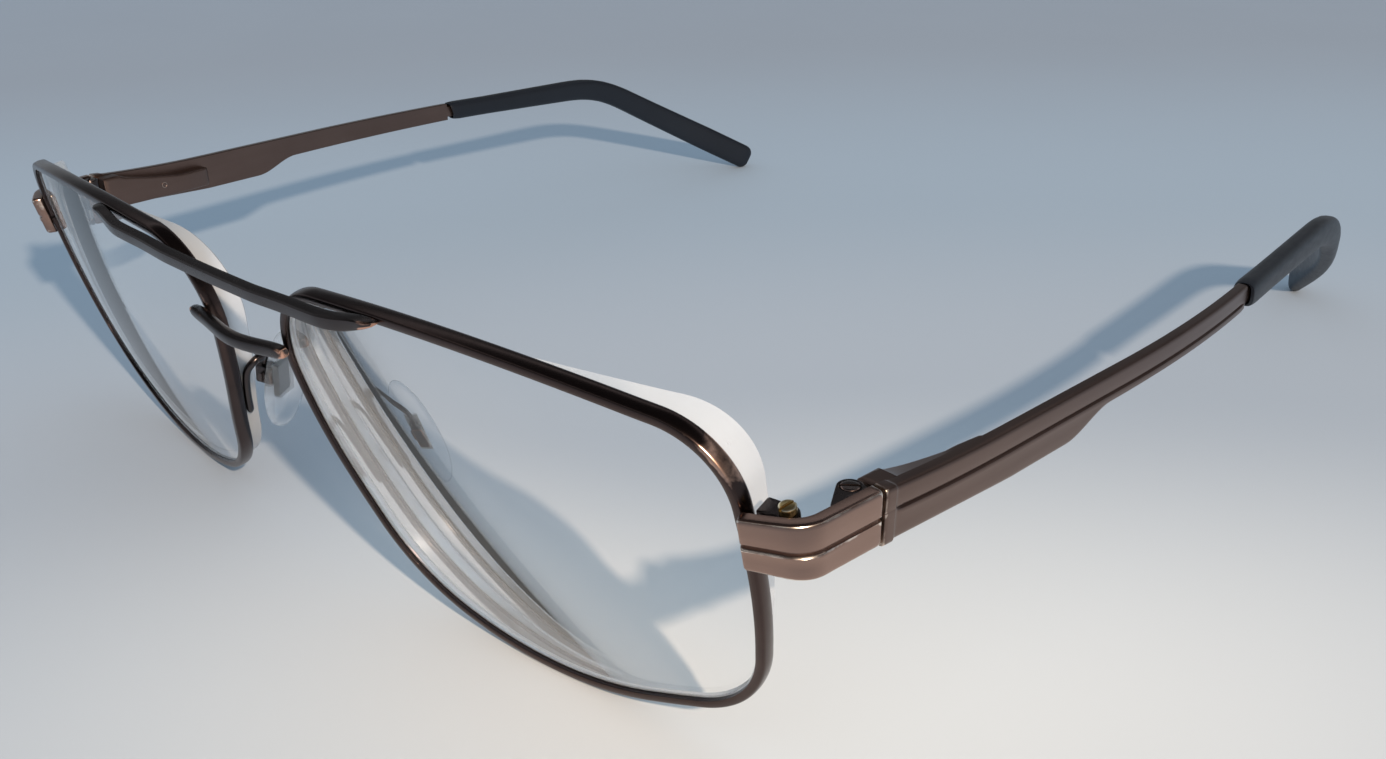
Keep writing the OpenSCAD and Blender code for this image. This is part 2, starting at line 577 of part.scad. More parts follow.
// the slider's eye turns on the hinge screw; its shank runs in the box
module slider_shape() {
  difference() {
    union() {
      eye_frame() translate([0, 0, -eye_h / 2]) cylinder(r = knuckle_r - seat, h = eye_h, $fn = 48);
      on_line(shank_start) translate([-shank_w / 2, 0, -shank_h / 2])
        cube([shank_w, shank_end - shank_start, shank_h]);
    }
    eye_frame() translate([0, 0, -eye_h]) cylinder(r = pin_r + run, h = 2 * eye_h, $fn = 48);
    eye_frame() translate([0, 0, eye_h / 2]) cylinder(r = 2 * knuckle_r, h = eye_h, $fn = 48);
    eye_frame() translate([0, 0, -1.5 * eye_h]) cylinder(r = 2 * knuckle_r, h = eye_h, $fn = 48);
  }
  on_line(shank_end - nut_r) along(rod_r, rod_end - shank_end + nut_r);
  on_line(rod_end - seat) along(nut_r, nut_h);
}
// stop bushing held in the box by its peg
module stop_shape() difference() {
  union() {
    on_line(box_y + stop_s) translate([stop_gap - slot_w / 2, 0, stop_gap - slot_h / 2])
      cube([slot_w - 2 * stop_gap, stop_len, slot_h - 2 * stop_gap]);
    on_line(box_y + stop_s + stop_len / 2) inward(peg_r, line_x - box_x - 0.1);
  }
  on_line(box_y + stop_s - 1) along(rod_r + run, stop_len + 2);
}
// coil spring between the stop and the nut at the rod's end
coil_turns = 9;
coil_steps = 8 * coil_turns;
coil_r = rod_r + run + coil_wire + 0.01;
coil_a = box_y + stop_s + stop_len + coil_wire + seat;
coil_b = rod_end - seat - coil_wire - seat;
function coil_ring(k) =
  let (a = 45 * k, y = mix(coil_a, coil_b, k / coil_steps), out = [cos(a), 0, sin(a)])
  [for (j = [0:60:300]) [line_x, y + coil_wire * sin(j), -eye_drop] + out * (coil_r + coil_wire * cos(j))];
module spring_shape() temple_frame() skin([for (k = [coil_steps:-1:0]) coil_ring(k)]);

// nose pad frame: origin on the pad screw, -X to the nose, +Z up the pad
pad_z = face_z - pad_low;
module pad_frame()
  translate([pad_x, pad_y, pad_z]) rotate([0, -pad_slope, 0]) rotate([0, 0, -pad_turn]) children();
function pad_outline(k) = [for (i = [0:23]) let (a = 15 * i, c = cos(a), s = sin(a))
  [k * pad_w / 2 * c * (1 - 0.14 * s), k * pad_len / 2 * s]];
// distance of the pad's back from the screw, and each layer of the pad with its share of the outline
pad_back = -1.3;
pad_drop = 0.3;
pad_layers = [[pad_back, 0.9], [pad_back - pad_t * 0.12, 0.98], [pad_back - pad_t * 0.4, 1],
  [pad_back - pad_t * 0.7, 0.86], [pad_back - pad_t * 0.9, 0.6], [pad_back - pad_t, 0.25]];
// metal core cast into the pad: its plate, and the eye that the screw goes through
core_size = [0.7, 2.46, 4.46];
eye_size = [1.95, 1, 1.1];
cast_gap = 0.02;
// outside and inside of the little box on the arm, which is open to the pad
case_size = [2.1, 1.9, 2.4];
room_size = [2.3, 1.2, 1.8];
case_back = -0.85;
room_back = -1.5;
pad_head_r = 0.62;
pad_head_h = 0.4;
module block_from(x, size) translate([x, -size[1] / 2, -size[2] / 2]) cube(size);
module across(r, h) rotate([90, 0, 0]) cylinder(r = r, h = h, center = true, $fn = 32);
module pad_shape() pad_frame() difference() {
  skin([for (l = pad_layers) [for (q = pad_outline(l[1])) [l[0], q[0], q[1] - pad_drop]]]);
  block_from(pad_back - core_size[0] - cast_gap, core_size + [1, 1, 1] * 2 * cast_gap);
  block_from(pad_back - core_size[0] / 2, core_size + [0, 1, 1] * 2 * cast_gap);
}
module pad_core_shape() pad_frame() difference() {
  union() {
    block_from(pad_back - core_size[0], core_size);
    block_from(pad_back - 0.1, eye_size);
  }
  across(pad_screw_r + run, 2 * case_size[1]);
}
module pad_box_shape() pad_frame() difference() {
  block_from(case_back, case_size);
  block_from(room_back, room_size);
  across(pad_screw_r + run, 2 * case_size[1]);
}
module pad_screw_shape() pad_frame() difference() {
  union() {
    across(pad_screw_r, case_size[1] + 0.3);
    translate([0, -case_size[1] / 2 - pad_head_h / 2 - seat, 0]) across(pad_head_r, pad_head_h);
  }
  translate([-slit_w / 2, -case_size[1] / 2 - pad_head_h - 1, -1]) cube([slit_w, 1.2, 2]);
}
// pad arm: round wire that lies along the rim's back, then loops behind the lens and down to the pad box
function from_pad(p) = [pad_x, pad_y, pad_z] + turned(turned(p, -pad_turn, 2), -pad_slope, 1);
function on_rim(v, off) = let (u = nasal_u(v) - wire_t * 0.55)
  from_lens([u, sag(u, v, front_curve) + wire_d + seat + arm_r + off, v]);
arm_knots = [on_rim(-arm_low - 1, 0), on_rim(-arm_low, 0), on_rim(-arm_low / 2, 0), on_rim(-1, 0.35),
  on_rim(0.1, 1.7), from_pad([-1.35, -3.35, 4.9]), from_pad([0.6, -1.9, 4.6]), from_pad([0.45, -0.12, 3]),
  from_pad([0.45, 0, 1.2 + seat]), from_pad([0.45, 0, -0.8])];
function spline(k, t) = let (a = k[0], b = k[1], c = k[2], d = k[3])
  0.5 * (2 * b + (c - a) * t + (2 * a - 5 * b + 4 * c - d) * t * t + (3 * b - a - 3 * c + d) * t * t * t);
arm_line = concat([for (i = [0:len(arm_knots) - 4], k = [0:5])
  spline([for (j = [0:3]) arm_knots[i + j]], k / 6)], [arm_knots[len(arm_knots) - 2]]);
module wire_run(line, r, n = 10) {
  m = len(line);
  skin([for (i = [0:m - 1])
    let (d = unit(line[min(i + 1, m - 1)] - line[max(i - 1, 0)]), s = unit(cross(d, [0.31, 0.2, 0.93])),
      u = cross(s, d))
    [for (k = [0:n - 1]) line[i] + s * r * cos(360 * k / n) + u * r * sin(360 * k / n)]]);
}

// the whole model is moved so that it stands over the middle of its own length
front_y = min([for (i = [0:bar_last])
  turned([0, bar_point(bar_x_at(i))[1] - bar_d / 2, bar_v - bar_h / 2], panto, 0)[1]]);
rear_y = max([for (s = tip_stops, q = tip_ring(s)) in_temple(q)[1]]);
module place() translate([0, -(front_y + rear_y) / 2, 0]) children();

module rim_left() color(dark) place() lens_frame() rim_shape();
module rim_right() mirror([1, 0, 0]) rim_left();
module lens_left() color(clear) place() lens_frame() lens_shape(skew_left);
module lens_right() mirror([1, 0, 0]) color(clear) place() lens_frame() lens_shape(skew_right);
module endpiece_left() color(brown) place() endpiece_shape();
module endpiece_right() mirror([1, 0, 0]) endpiece_left();
module knuckles_left() color(brown) place() knuckles_shape();
module knuckles_right() mirror([1, 0, 0]) knuckles_left();
module hinge_screw_left() color(steel) place() hinge_screw_shape();
module hinge_screw_right() mirror([1, 0, 0]) hinge_screw_left();
module lock_upper_left() color(dark) place() lens_frame() block(split_gap / 2);
module lock_upper_right() mirror([1, 0, 0]) lock_upper_left();
module lock_lower_left() color(dark) place() lens_frame() block(-split_gap / 2 - block_h);
module lock_lower_right() mirror([1, 0, 0]) lock_lower_left();
module lock_screw_left() color(gold) place() lens_frame() lock_screw_shape();
module lock_screw_right() mirror([1, 0, 0]) lock_screw_left();
module temple_left() color(brown) place() temple_shape();
module temple_right() mirror([1, 0, 0]) temple_left();
module tip_left() color(black) place() tip_shape();
module tip_right() mirror([1, 0, 0]) tip_left();
module spring_box_left() color(brown) place() spring_box_shape();
module spring_box_right() mirror([1, 0, 0]) spring_box_left();
module slider_left() color(steel) place() slider_shape();
module slider_right() mirror([1, 0, 0]) slider_left();
module spring_stop_left() color(steel) place() stop_shape();
module spring_stop_right() mirror([1, 0, 0]) spring_stop_left();
module spring_left() color(steel) place() spring_shape();
module spring_right() mirror([1, 0, 0]) spring_left();
module pad_left() color(clear) place() pad_shape();
module pad_right() mirror([1, 0, 0]) pad_left();
module pad_core_left() color(steel) place() pad_core_shape();
module pad_core_right() mirror([1, 0, 0]) pad_core_left();
module pad_box_left() color(steel) place() pad_box_shape();
module pad_box_right() mirror([1, 0, 0]) pad_box_left();
module pad_screw_left() color(gold) place() pad_screw_shape();
module pad_screw_right() mirror([1, 0, 0]) pad_screw_left();
module pad_arm_left() color(dark) place() wire_run(arm_line, arm_r, 8);
module pad_arm_right() mirror([1, 0, 0]) pad_arm_left();

brow_bar();
bridge();
rim_left();
rim_right();
lens_left();
lens_right();
endpiece_left();
endpiece_right();
knuckles_left();
knuckles_right();
hinge_screw_left();
hinge_screw_right();
lock_upper_left();
lock_upper_right();
lock_lower_left();
lock_lower_right();
lock_screw_left();
lock_screw_right();
temple_left();
temple_right();
tip_left();
tip_right();
spring_box_left();
spring_box_right();
slider_left();
slider_right();
spring_stop_left();
spring_stop_right();
spring_left();
spring_right();
pad_left();
pad_right();
pad_core_left();
pad_core_right();
pad_box_left();
pad_box_right();
pad_screw_left();
pad_screw_right();
pad_arm_left();
pad_arm_right();
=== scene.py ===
"""Aviator eyeglasses on a pale table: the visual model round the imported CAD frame.

Shapes are worked out in millimetres in the construction frame of the CAD source, for the wearer's
left side. build() shifts them along y by SHIFT, mirrors them for the right and scales them to metres.
"""

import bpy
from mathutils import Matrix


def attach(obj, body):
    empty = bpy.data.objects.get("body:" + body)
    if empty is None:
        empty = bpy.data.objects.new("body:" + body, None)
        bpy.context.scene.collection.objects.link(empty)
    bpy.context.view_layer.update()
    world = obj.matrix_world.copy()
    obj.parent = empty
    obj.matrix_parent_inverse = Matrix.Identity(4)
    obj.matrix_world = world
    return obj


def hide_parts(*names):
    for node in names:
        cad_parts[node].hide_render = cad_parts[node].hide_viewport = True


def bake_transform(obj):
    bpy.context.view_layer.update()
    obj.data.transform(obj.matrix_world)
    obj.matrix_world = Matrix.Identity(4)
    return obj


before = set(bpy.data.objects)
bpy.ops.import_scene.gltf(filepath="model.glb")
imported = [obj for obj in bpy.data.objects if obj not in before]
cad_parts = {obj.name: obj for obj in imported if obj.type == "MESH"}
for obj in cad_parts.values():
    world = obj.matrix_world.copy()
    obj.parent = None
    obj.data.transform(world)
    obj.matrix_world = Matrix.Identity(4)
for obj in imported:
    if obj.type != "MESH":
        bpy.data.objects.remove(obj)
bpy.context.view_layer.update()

import math

import bmesh
import bpy
import numpy as np
from mathutils import Euler, Matrix

SHIFT = 74.8433
D = math.pi / 180
SIDES = ((1, "left"), (-1, "right"))

# Helpers


def rot(axis, deg):
    return np.array(Matrix.Rotation(deg * D, 3, axis))


def mix(a, b, t):
    return a + (b - a) * t


def clamp(t):
    return max(0.0, min(1.0, t))


def ease(t):
    t = clamp(t)
    return t * t * (3 - 2 * t)


def unit(a):
    a = np.asarray(a, float)
    return a / np.linalg.norm(a)


def heading(a):
    """Direction at a degrees."""
    return np.array([math.cos(a * D), math.sin(a * D)])


def circle(n):
    """Cosines and sines of n even steps round a circle."""
    a = np.radians(np.arange(n) * 360 / n)
    return np.stack([np.cos(a), np.sin(a)], 1)


class Shape:
    """Vertices in millimetres, faces, a material index per face and a wear value per vertex, which on some
    metal parts also carries painted highlights and glints.
    """

    def __init__(self):
        self.v, self.f, self.m, self.w = [], [], [], []

    def loft(self, rings, cap=(1, 1), closed=False, mat=0, wear=0.0, fan=False):
        """Skins rings of one length; each end gets a face or a fan, or the last ring joins the first."""
        rings = np.asarray(rings, float)
        m, n = rings.shape[:2]
        base = len(self.v)
        self.v += [tuple(p) for p in rings.reshape(-1, 3)]
        wear = np.broadcast_to(np.asarray(wear, float), (m, n))
        self.w += list(wear.reshape(-1))
        mats = mat if hasattr(mat, "__len__") else [mat] * m
        for i in range(m if closed else m - 1):
            k = (i + 1) % m
            for j in range(n):
                h = (j + 1) % n
                self.f.append([base + i * n + j, base + i * n + h, base + k * n + h, base + k * n + j])
                self.m.append(mats[i])
        for on, i in ((cap[0], 0), (cap[1], m - 1)):
            if not on or closed:
                continue
            ring = [base + i * n + j for j in range(n)]
            tone = mats[0 if i == 0 else -1]
            if fan:
                self.v.append(tuple(rings[i].mean(0)))
                self.w.append(float(wear[i].mean()))
                centre = len(self.v) - 1
                self.f += [[ring[j], ring[(j + 1) % n], centre] for j in range(n)]
                self.m += [tone] * n
            else:
                self.f.append(ring)
                self.m.append(tone)
        return self

    def move(self, fn):
        self.v = [tuple(fn(np.array(p))) for p in self.v]
        return self


def build(name, shape, mats, body, nodes, side=1, sharp=32):
    """Makes the object, parents it to its body and hides the CAD nodes it stands for; one with no body is
    left unparented.
    """
    me = bpy.data.meshes.new(name)
    co = np.array(shape.v, float) * (side, 1, 1) - (0, SHIFT, 0)
    me.from_pydata((co / 1000).tolist(), [], shape.f)
    for m in mats:
        me.materials.append(m)
    me.polygons.foreach_set("material_index", np.array(shape.m, np.int32))
    at = me.attributes.new("wear", "FLOAT", "POINT")
    at.data.foreach_set("value", np.array(shape.w, np.float32))
    bm = bmesh.new()
    bm.from_mesh(me)
    bmesh.ops.recalc_face_normals(bm, faces=bm.faces)
    bm.to_mesh(me)
    bm.free()
    me.polygons.foreach_set("use_smooth", np.ones(len(me.polygons), bool))
    me.set_sharp_from_angle(angle=sharp * D)
    me.update()
    o = bpy.data.objects.new(name, me)
    bpy.context.scene.collection.objects.link(o)
    if body:
        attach(o, body)
    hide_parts(*nodes)
    return o


def bar(p, s, u, a, b, n, power=4.0):
    """Ring of a round-cornered bar: centre, side and up directions, half sizes."""
    t = (np.arange(n) + 0.5) * 2 * math.pi / n
    c, e = np.cos(t), np.sin(t)
    q = (np.abs(c) ** power + np.abs(e) ** power) ** (-1 / power)
    return np.asarray(p) + np.outer(c * q * a, s) + np.outer(e * q * b, u)


def rounded(points, n):
    """Closed outline through corners (x, y, radius), each rounded in n parts."""
    nearly_straight, most_of_side = 88 * D, 0.45
    pts = [np.array(p[:2], float) for p in points]
    out = []
    for i, b in enumerate(pts):
        before, after, r = pts[i - 1] - b, pts[(i + 1) % len(pts)] - b, points[i][2]
        p, q = unit(before), unit(after)
        half = math.acos(float(np.clip(p @ q, -1, 1))) / 2
        if r <= 0 or half > nearly_straight:
            out.append(b)
            continue
        d = min(r / math.tan(half), most_of_side * np.linalg.norm(before),
                most_of_side * np.linalg.norm(after))
        a, c = b + p * d, b + q * d
        for k in range(n + 1):
            t = k / n
            out.append((1 - t) ** 2 * a + 2 * t * (1 - t) * b + t * t * c)
    return np.array(out)


# Shader nodes


def nodes_of(name):
    """A new material with its node tree, its main shader and its output."""
    m = bpy.data.materials.new(name)
    m.use_nodes = True
    nt = m.node_tree
    return m, nt, nt.nodes["Principled BSDF"], nt.nodes["Material Output"]


def ramp(nt, fac, stops, between="LINEAR"):
    r = nt.nodes.new("ShaderNodeValToRGB")
    r.color_ramp.interpolation = between
    el = r.color_ramp.elements
    while len(el) < len(stops):
        el.new(0.5)
    for e, (p, c) in zip(el, stops):
        e.position = p
        e.color = (*c, 1)
    nt.links.new(fac, r.inputs["Fac"])
    return r.outputs["Color"]


def number(nt, fac, lo, hi):
    """A number that goes from lo to hi as fac goes from 0 to 1."""
    n = nt.nodes.new("ShaderNodeMapRange")
    n.inputs["To Min"].default_value = lo
    n.inputs["To Max"].default_value = hi
    nt.links.new(fac, n.inputs["Value"])
    return n.outputs["Result"]


def noise(nt, scale, stretch=(1, 1, 1), detail=4.0, rough=0.55, dist=0.0):
    co = nt.nodes.new("ShaderNodeTexCoord")
    mp = nt.nodes.new("ShaderNodeMapping")
    mp.inputs["Scale"].default_value = stretch
    nt.links.new(co.outputs["Object"], mp.inputs["Vector"])
    n = nt.nodes.new("ShaderNodeTexNoise")
    n.inputs["Scale"].default_value = scale
    n.inputs["Detail"].default_value = detail
    n.inputs["Roughness"].default_value = rough
    n.inputs["Distortion"].default_value = dist
    nt.links.new(mp.outputs["Vector"], n.inputs["Vector"])
    return n.outputs["Fac"]


def math_node(nt, op, a, b=None, c=None, clampit=False):
    n = nt.nodes.new("ShaderNodeMath")
    n.operation = op
    n.use_clamp = clampit
    for i, x in enumerate((a, b, c)):
        if x is None:
            continue
        if isinstance(x, (int, float)):
            n.inputs[i].default_value = x
        else:
            nt.links.new(x, n.inputs[i])
    return n.outputs[0]


def mix_colour(nt, fac, a, b):
    n = nt.nodes.new("ShaderNodeMix")
    n.data_type = "RGBA"
    for s, x in ((n.inputs["Factor"], fac), (n.inputs["A"], a), (n.inputs["B"], b)):
        if isinstance(x, tuple):
            s.default_value = (*x, 1)
        else:
            nt.links.new(x, s)
    return n.outputs["Result"]


def mix_shader(nt, fac, a, b):
    n = nt.nodes.new("ShaderNodeMixShader")
    if isinstance(fac, float):
        n.inputs[0].default_value = fac
    else:
        nt.links.new(fac, n.inputs[0])
    nt.links.new(a, n.inputs[1])
    nt.links.new(b, n.inputs[2])
    return n.outputs[0]


def bump(nt, bsdf, height, strength, distance):
    b = nt.nodes.new("ShaderNodeBump")
    b.inputs["Strength"].default_value = strength
    b.inputs["Distance"].default_value = distance
    nt.links.new(height, b.inputs["Height"])
    nt.links.new(b.outputs["Normal"], bsdf.inputs["Normal"])


def wear_value(nt):
    n = nt.nodes.new("ShaderNodeAttribute")
    n.attribute_name = "wear"
    return n.outputs["Fac"]


# Materials

WEAR_FROM, WEAR_SPREAD, WEAR_SHARP = 0.45, 1.1, 5.0
ROUGH_LESS, ROUGH_MORE = 0.09, 0.12
FINE_DEPTH = 0.00003


def plated(name, dark, light, worn, rough, brush=(1, 1, 1)):
    """Plated metal: a tone that drifts, fine brushing, and base metal that shows on worn edges; the worn
    colour also paints highlights and glints where the wear value is raised for them.
    """
    m, nt, b, _ = nodes_of(name)
    drift = noise(nt, 90, detail=3)
    fine = noise(nt, 900, brush, detail=5, rough=0.6)
    patch = noise(nt, 420, detail=6, rough=0.62, dist=0.3)
    base = mix_colour(nt, drift, dark, light)
    base = mix_colour(nt, math_node(nt, "MULTIPLY", fine, 0.35), base, tuple(x * 0.7 for x in dark))
    amount = math_node(nt, "MULTIPLY_ADD", patch, WEAR_SPREAD, -WEAR_SPREAD / 2)
    amount = math_node(nt, "ADD", wear_value(nt), amount)
    amount = math_node(nt, "SUBTRACT", amount, WEAR_FROM)
    amount = math_node(nt, "MULTIPLY", amount, WEAR_SHARP, clampit=True)
    nt.links.new(mix_colour(nt, amount, base, worn), b.inputs["Base Color"])
    b.inputs["Metallic"].default_value = 1.0
    half_fine, half_drift = math_node(nt, "MULTIPLY", fine, 0.5), math_node(nt, "MULTIPLY", drift, 0.5)
    both = math_node(nt, "ADD", half_fine, half_drift)
    nt.links.new(number(nt, both, rough - ROUGH_LESS, rough + ROUGH_MORE), b.inputs["Roughness"])
    bump(nt, b, fine, 0.12, FINE_DEPTH)
    return m


def sleeve_plastic():
    """Dark plastic with a satin grain."""
    m, nt, b, _ = nodes_of("sleeve_plastic")
    tone = noise(nt, 60, detail=3)
    fine = noise(nt, 1500, (1, 0.3, 1), detail=4)
    colour = mix_colour(nt, tone, (0.005, 0.007, 0.012), (0.010, 0.0135, 0.021))
    nt.links.new(colour, b.inputs["Base Color"])
    nt.links.new(number(nt, fine, 0.34, 0.5), b.inputs["Roughness"])
    b.inputs["Specular IOR Level"].default_value = 0.32
    b.inputs["Coat Weight"].default_value = 0.06
    b.inputs["Coat Roughness"].default_value = 0.2
    bump(nt, b, fine, 0.15, FINE_DEPTH)
    return m


def see_through(name, tint, rough, ior, shade, rim_shade=None, passing=1.0, faint=0.0):
    """Clear body: refracts for the eye, and lets a shadow ray pass with a tint.

    shade is that tint, rim_shade the one where the wear value is 1, passing the share of light that
    goes in, and faint the share of the body that doesn't show at all.
    """
    m, nt, b, out = nodes_of(name)
    cloud = noise(nt, 220, detail=3)
    fine = noise(nt, 500, detail=5)
    bright = tuple(min(1.0, x * 1.015) for x in tint)
    nt.links.new(mix_colour(nt, cloud, tint, bright), b.inputs["Base Color"])
    nt.links.new(number(nt, fine, rough[0], rough[1]), b.inputs["Roughness"])
    b.inputs["Transmission Weight"].default_value = passing
    b.inputs["IOR"].default_value = ior
    tinted = nt.nodes.new("ShaderNodeBsdfTransparent")
    if rim_shade:
        nt.links.new(mix_colour(nt, wear_value(nt), shade, rim_shade), tinted.inputs["Color"])
    else:
        tinted.inputs["Color"].default_value = (*shade, 1)
    body = b.outputs["BSDF"]
    if faint:
        body = mix_shader(nt, faint, body, nt.nodes.new("ShaderNodeBsdfTransparent").outputs["BSDF"])
    shadow_ray = nt.nodes.new("ShaderNodeLightPath").outputs["Is Shadow Ray"]
    nt.links.new(mix_shader(nt, shadow_ray, body, tinted.outputs["BSDF"]), out.inputs["Surface"])
    return m


# the worn colours are base metal on worn edges, and also painted copper glints on the bar and bridge ends and
# the eyewire's nasal side, and a painted pale highlight along the endpiece's top edge
GUN = plated("gunmetal", (0.062, 0.053, 0.053), (0.105, 0.086, 0.082), (0.75, 0.42, 0.3), 0.24)
RIM = plated("rim_metal", (0.058, 0.043, 0.041), (0.105, 0.07, 0.062), (0.62, 0.4, 0.31), 0.22)
BROWN = plated("brown_metal", (0.165, 0.11, 0.092), (0.222, 0.154, 0.13), (0.58, 0.47, 0.4), 0.31,
               brush=(1, 0.06, 1))
PLATE = plated("plate_metal", (0.31, 0.2, 0.162), (0.39, 0.265, 0.22), (0.85, 0.76, 0.68), 0.23,
               brush=(0.25, 0.25, 1))
STEEL = plated("steel", (0.3, 0.3, 0.3), (0.42, 0.42, 0.42), (0.7, 0.7, 0.69), 0.3)
PIN = plated("pin_metal", (0.11, 0.09, 0.086), (0.17, 0.14, 0.13), (0.62, 0.45, 0.4), 0.25)
GOLD = plated("brass", (0.5, 0.38, 0.17), (0.72, 0.58, 0.3), (0.85, 0.8, 0.62), 0.28)
SLEEVE = sleeve_plastic()
LENS = see_through("lens", (0.985, 0.99, 0.99), (0.0, 0.012), 1.53, (0.16, 0.17, 0.19), (0.3, 0.3, 0.31))
EDGE = see_through("lens_edge", (0.93, 0.93, 0.95), (0.23, 0.29), 1.53, (0.2, 0.21, 0.22), passing=0.56)
PAD = see_through("pad_silicone", (0.93, 0.94, 0.95), (0.08, 0.16), 1.12, (0.6, 0.62, 0.64), faint=0.5)

# Eyewires and lenses: u runs to the temple and v up from the lens centre, on the front surface

LENS_X, PANTO, FORM, CURVE = 36.5, 10.1, 6.0, 185.0
WIRE_T, WIRE_D, SPLIT_V, SPLIT = 1.0, 1.7, 5.9, 0.3
# corners of the opening as (u, v, radius), down the temporal side and round by the nose
CORNERS = [(26.7, -0.9, 52), (24.6, -15.1, 11.3), (0.7, -23.5, 35.3), (-18.1, -17.1, 16.6),
           (-26.5, 0.5, 47), (-30.1, 15.6, 8.5), (-1.6, 18.3, 141), (25.2, 13.8, 7.7)]


def sag(u, v):
    """How far the front surface falls back at a point."""
    return CURVE - math.sqrt(CURVE * CURVE - u * u - v * v)


def arcs(per=6, step=None):
    """The corners' arcs as (point, outward direction), in per parts each or in parts up to step long."""
    out = []
    n = len(CORNERS)
    for i in range(n):
        b, r = np.array(CORNERS[i][:2]), CORNERS[i][2]
        p = unit(np.array(CORNERS[i - 1][:2]) - b)
        q = unit(np.array(CORNERS[(i + 1) % n][:2]) - b)
        half = math.acos(p @ q) / 2
        # o is the arc's centre, s and e its ends seen from there, a where it starts and t its turn
        o = b + unit(p + q) * r / math.sin(half)
        s, e = b + p * r / math.tan(half) - o, b + q * r / math.tan(half) - o
        a = math.atan2(s[1], s[0])
        t = (math.atan2(e[1], e[0]) - a + math.pi) % (2 * math.pi) - math.pi
        k = per if step is None else max(4, math.ceil(abs(t) * r / step), math.ceil(abs(t) / (5 * D)))
        for j in range(k + 1):
            d = np.array([math.cos(a + t * j / k), math.sin(a + t * j / k)])
            out.append((o + d * r, d))
    return out


def at_v(rounds, v):
    """Point at height v on the temporal side, between the last arc and the first."""
    a, b = rounds[0], rounds[-1]
    t = (v - a[0][1]) / (b[0][1] - a[0][1])
    return mix(a[0], b[0], t), unit(mix(a[1], b[1], t))


def filled(loop, step, closed):
    """The loop with points put into its straight stretches."""
    out = []
    n = len(loop)
    for i in range(n if closed else n - 1):
        a, b = loop[i], loop[(i + 1) % n]
        k = max(1, math.ceil(np.linalg.norm(b[0] - a[0]) / step))
        out += [(mix(a[0], b[0], j / k), unit(mix(a[1], b[1], j / k))) for j in range(k)]
    if not closed:
        out.append(loop[-1])
    return out


COARSE = arcs()
FINE = arcs(step=0.45)
CUT = [at_v(COARSE, SPLIT_V - SPLIT / 2), at_v(COARSE, SPLIT_V + SPLIT / 2)]
OPEN = filled(CUT[:1] + FINE + CUT[1:], 1.0, False)
SHUT = filled([at_v(COARSE, SPLIT_V)] + FINE, 0.5, True)
RX, RZ = rot("X", PANTO), rot("Z", FORM)
# points of the CAD wire's section that can be its lowest: outward and backward
CAD_WIRE = [(0.08, 0), (WIRE_T, WIRE_D / 2), (WIRE_T * 0.96, WIRE_D * 0.17), (WIRE_T * 0.75, 0)]


def leaned(p):
    return RX @ (np.array([LENS_X, 0, 0]) + RZ @ np.asarray(p, float))


def wire_at(s, q):
    """Point q of the wire's section at the loop's point s."""
    c = s[0] + s[1] * q[0]
    return np.array([c[0], sag(*s[0]) + q[1], c[1]])


FACE_Z = -min(leaned(wire_at(s, q))[2] for s in CUT[:1] + COARSE for q in CAD_WIRE)


def face(p):
    """From the face's frame, midway between the lenses and leaning with them."""
    return RX @ np.asarray(p, float) + (0, 0, FACE_Z)


def lens(p):
    """From the lens' own frame: temporal, backward, up."""
    return leaned(p) + (0, 0, FACE_Z)


# the wire's section from its front inner edge by the groove: outward, backward and wear
WIRE = [(0.10, 0.0, .1), (0.02, 0.05, .62), (0.0, 0.14, .3), (0.0, 0.5, 0), (0.02, 0.56, 0), (0.4, 0.7, 0),
        (0.4, 1.0, 0), (0.02, 1.14, 0), (0.0, 1.2, 0), (0.0, 1.56, 0), (0.03, 1.65, .2), (0.1, 1.7, 0),
        (0.66, 1.7, 0), (0.78, 1.66, .15), (0.88, 1.55, .35), (0.94, 1.38, .1), (0.985, 1.1, 0),
        (1.0, 0.85, 0), (0.985, 0.6, 0), (0.945, 0.34, .1), (0.9, 0.19, .38), (0.83, 0.085, .66),
        (0.74, 0.025, .45), (0.66, 0.0, .12), (0.4, -0.012, 0)]
# worn spots as (u, v, spread): the temporal top corner, and the nasal side by the bridge, whose worn copper
# also stands in for a painted glint
CORNER_SPOT, NOSE_SPOT = (24.5, 12.5, 11), (-25.5, 8.5, 6)


def spot(place, p):
    """1 at a worn spot, fading away from it."""
    u, v, spread = place
    return math.exp(-((p[0] - u) ** 2 + (p[1] - v) ** 2) / spread)


def rim(side):
    """Grooved wire, cut at the temporal side; its corner is worn on the wearer's left only, and its nasal
    side is worn, more on the wearer's right, where the copper stands in for a painted glint.
    """
    # on the wearer's right the nasal spot is raised to 0.95, so its worn copper paints a copper glint over
    # the wear
    at_corner, at_nose = (1, 0.4) if side > 0 else (0, 0.95)
    rings, wear = [], []
    for s in OPEN:
        rings.append([lens(wire_at(s, q)) for q in WIRE])
        a, b = spot(CORNER_SPOT, s[0]) * at_corner, spot(NOSE_SPOT, s[0]) * at_nose
        wear.append([q[2] * 0.3 + a * (0.62 if q[0] > 0.6 else 0.3) + b * (q[0] > 0.3) for q in WIRE])
    return Shape().loft(rings, wear=wear)


CENTRE_T, THICKER_U, THICKER_V = 1.2, 0.0036, 0.0018
LIP, LENS_FIT, FRONT_BEVEL, BACK_BEVEL = WIRE_D * 0.25, 0.04, 0.12, 0.32
RIDGE_OUT, RIDGE_MID, RIDGE_HALF = 0.36, WIRE_D / 2, 0.27
EDGE_ROWS = 8
LENS_SHARES = [0.04, 0.12, 0.2, 0.28, 0.36, 0.44, 0.52, 0.6, 0.68, 0.76, 0.83, 0.89, 0.94, 0.975]


def thick(u, v, skew):
    return CENTRE_T + THICKER_U * u * u + THICKER_V * v * v + skew * u * v


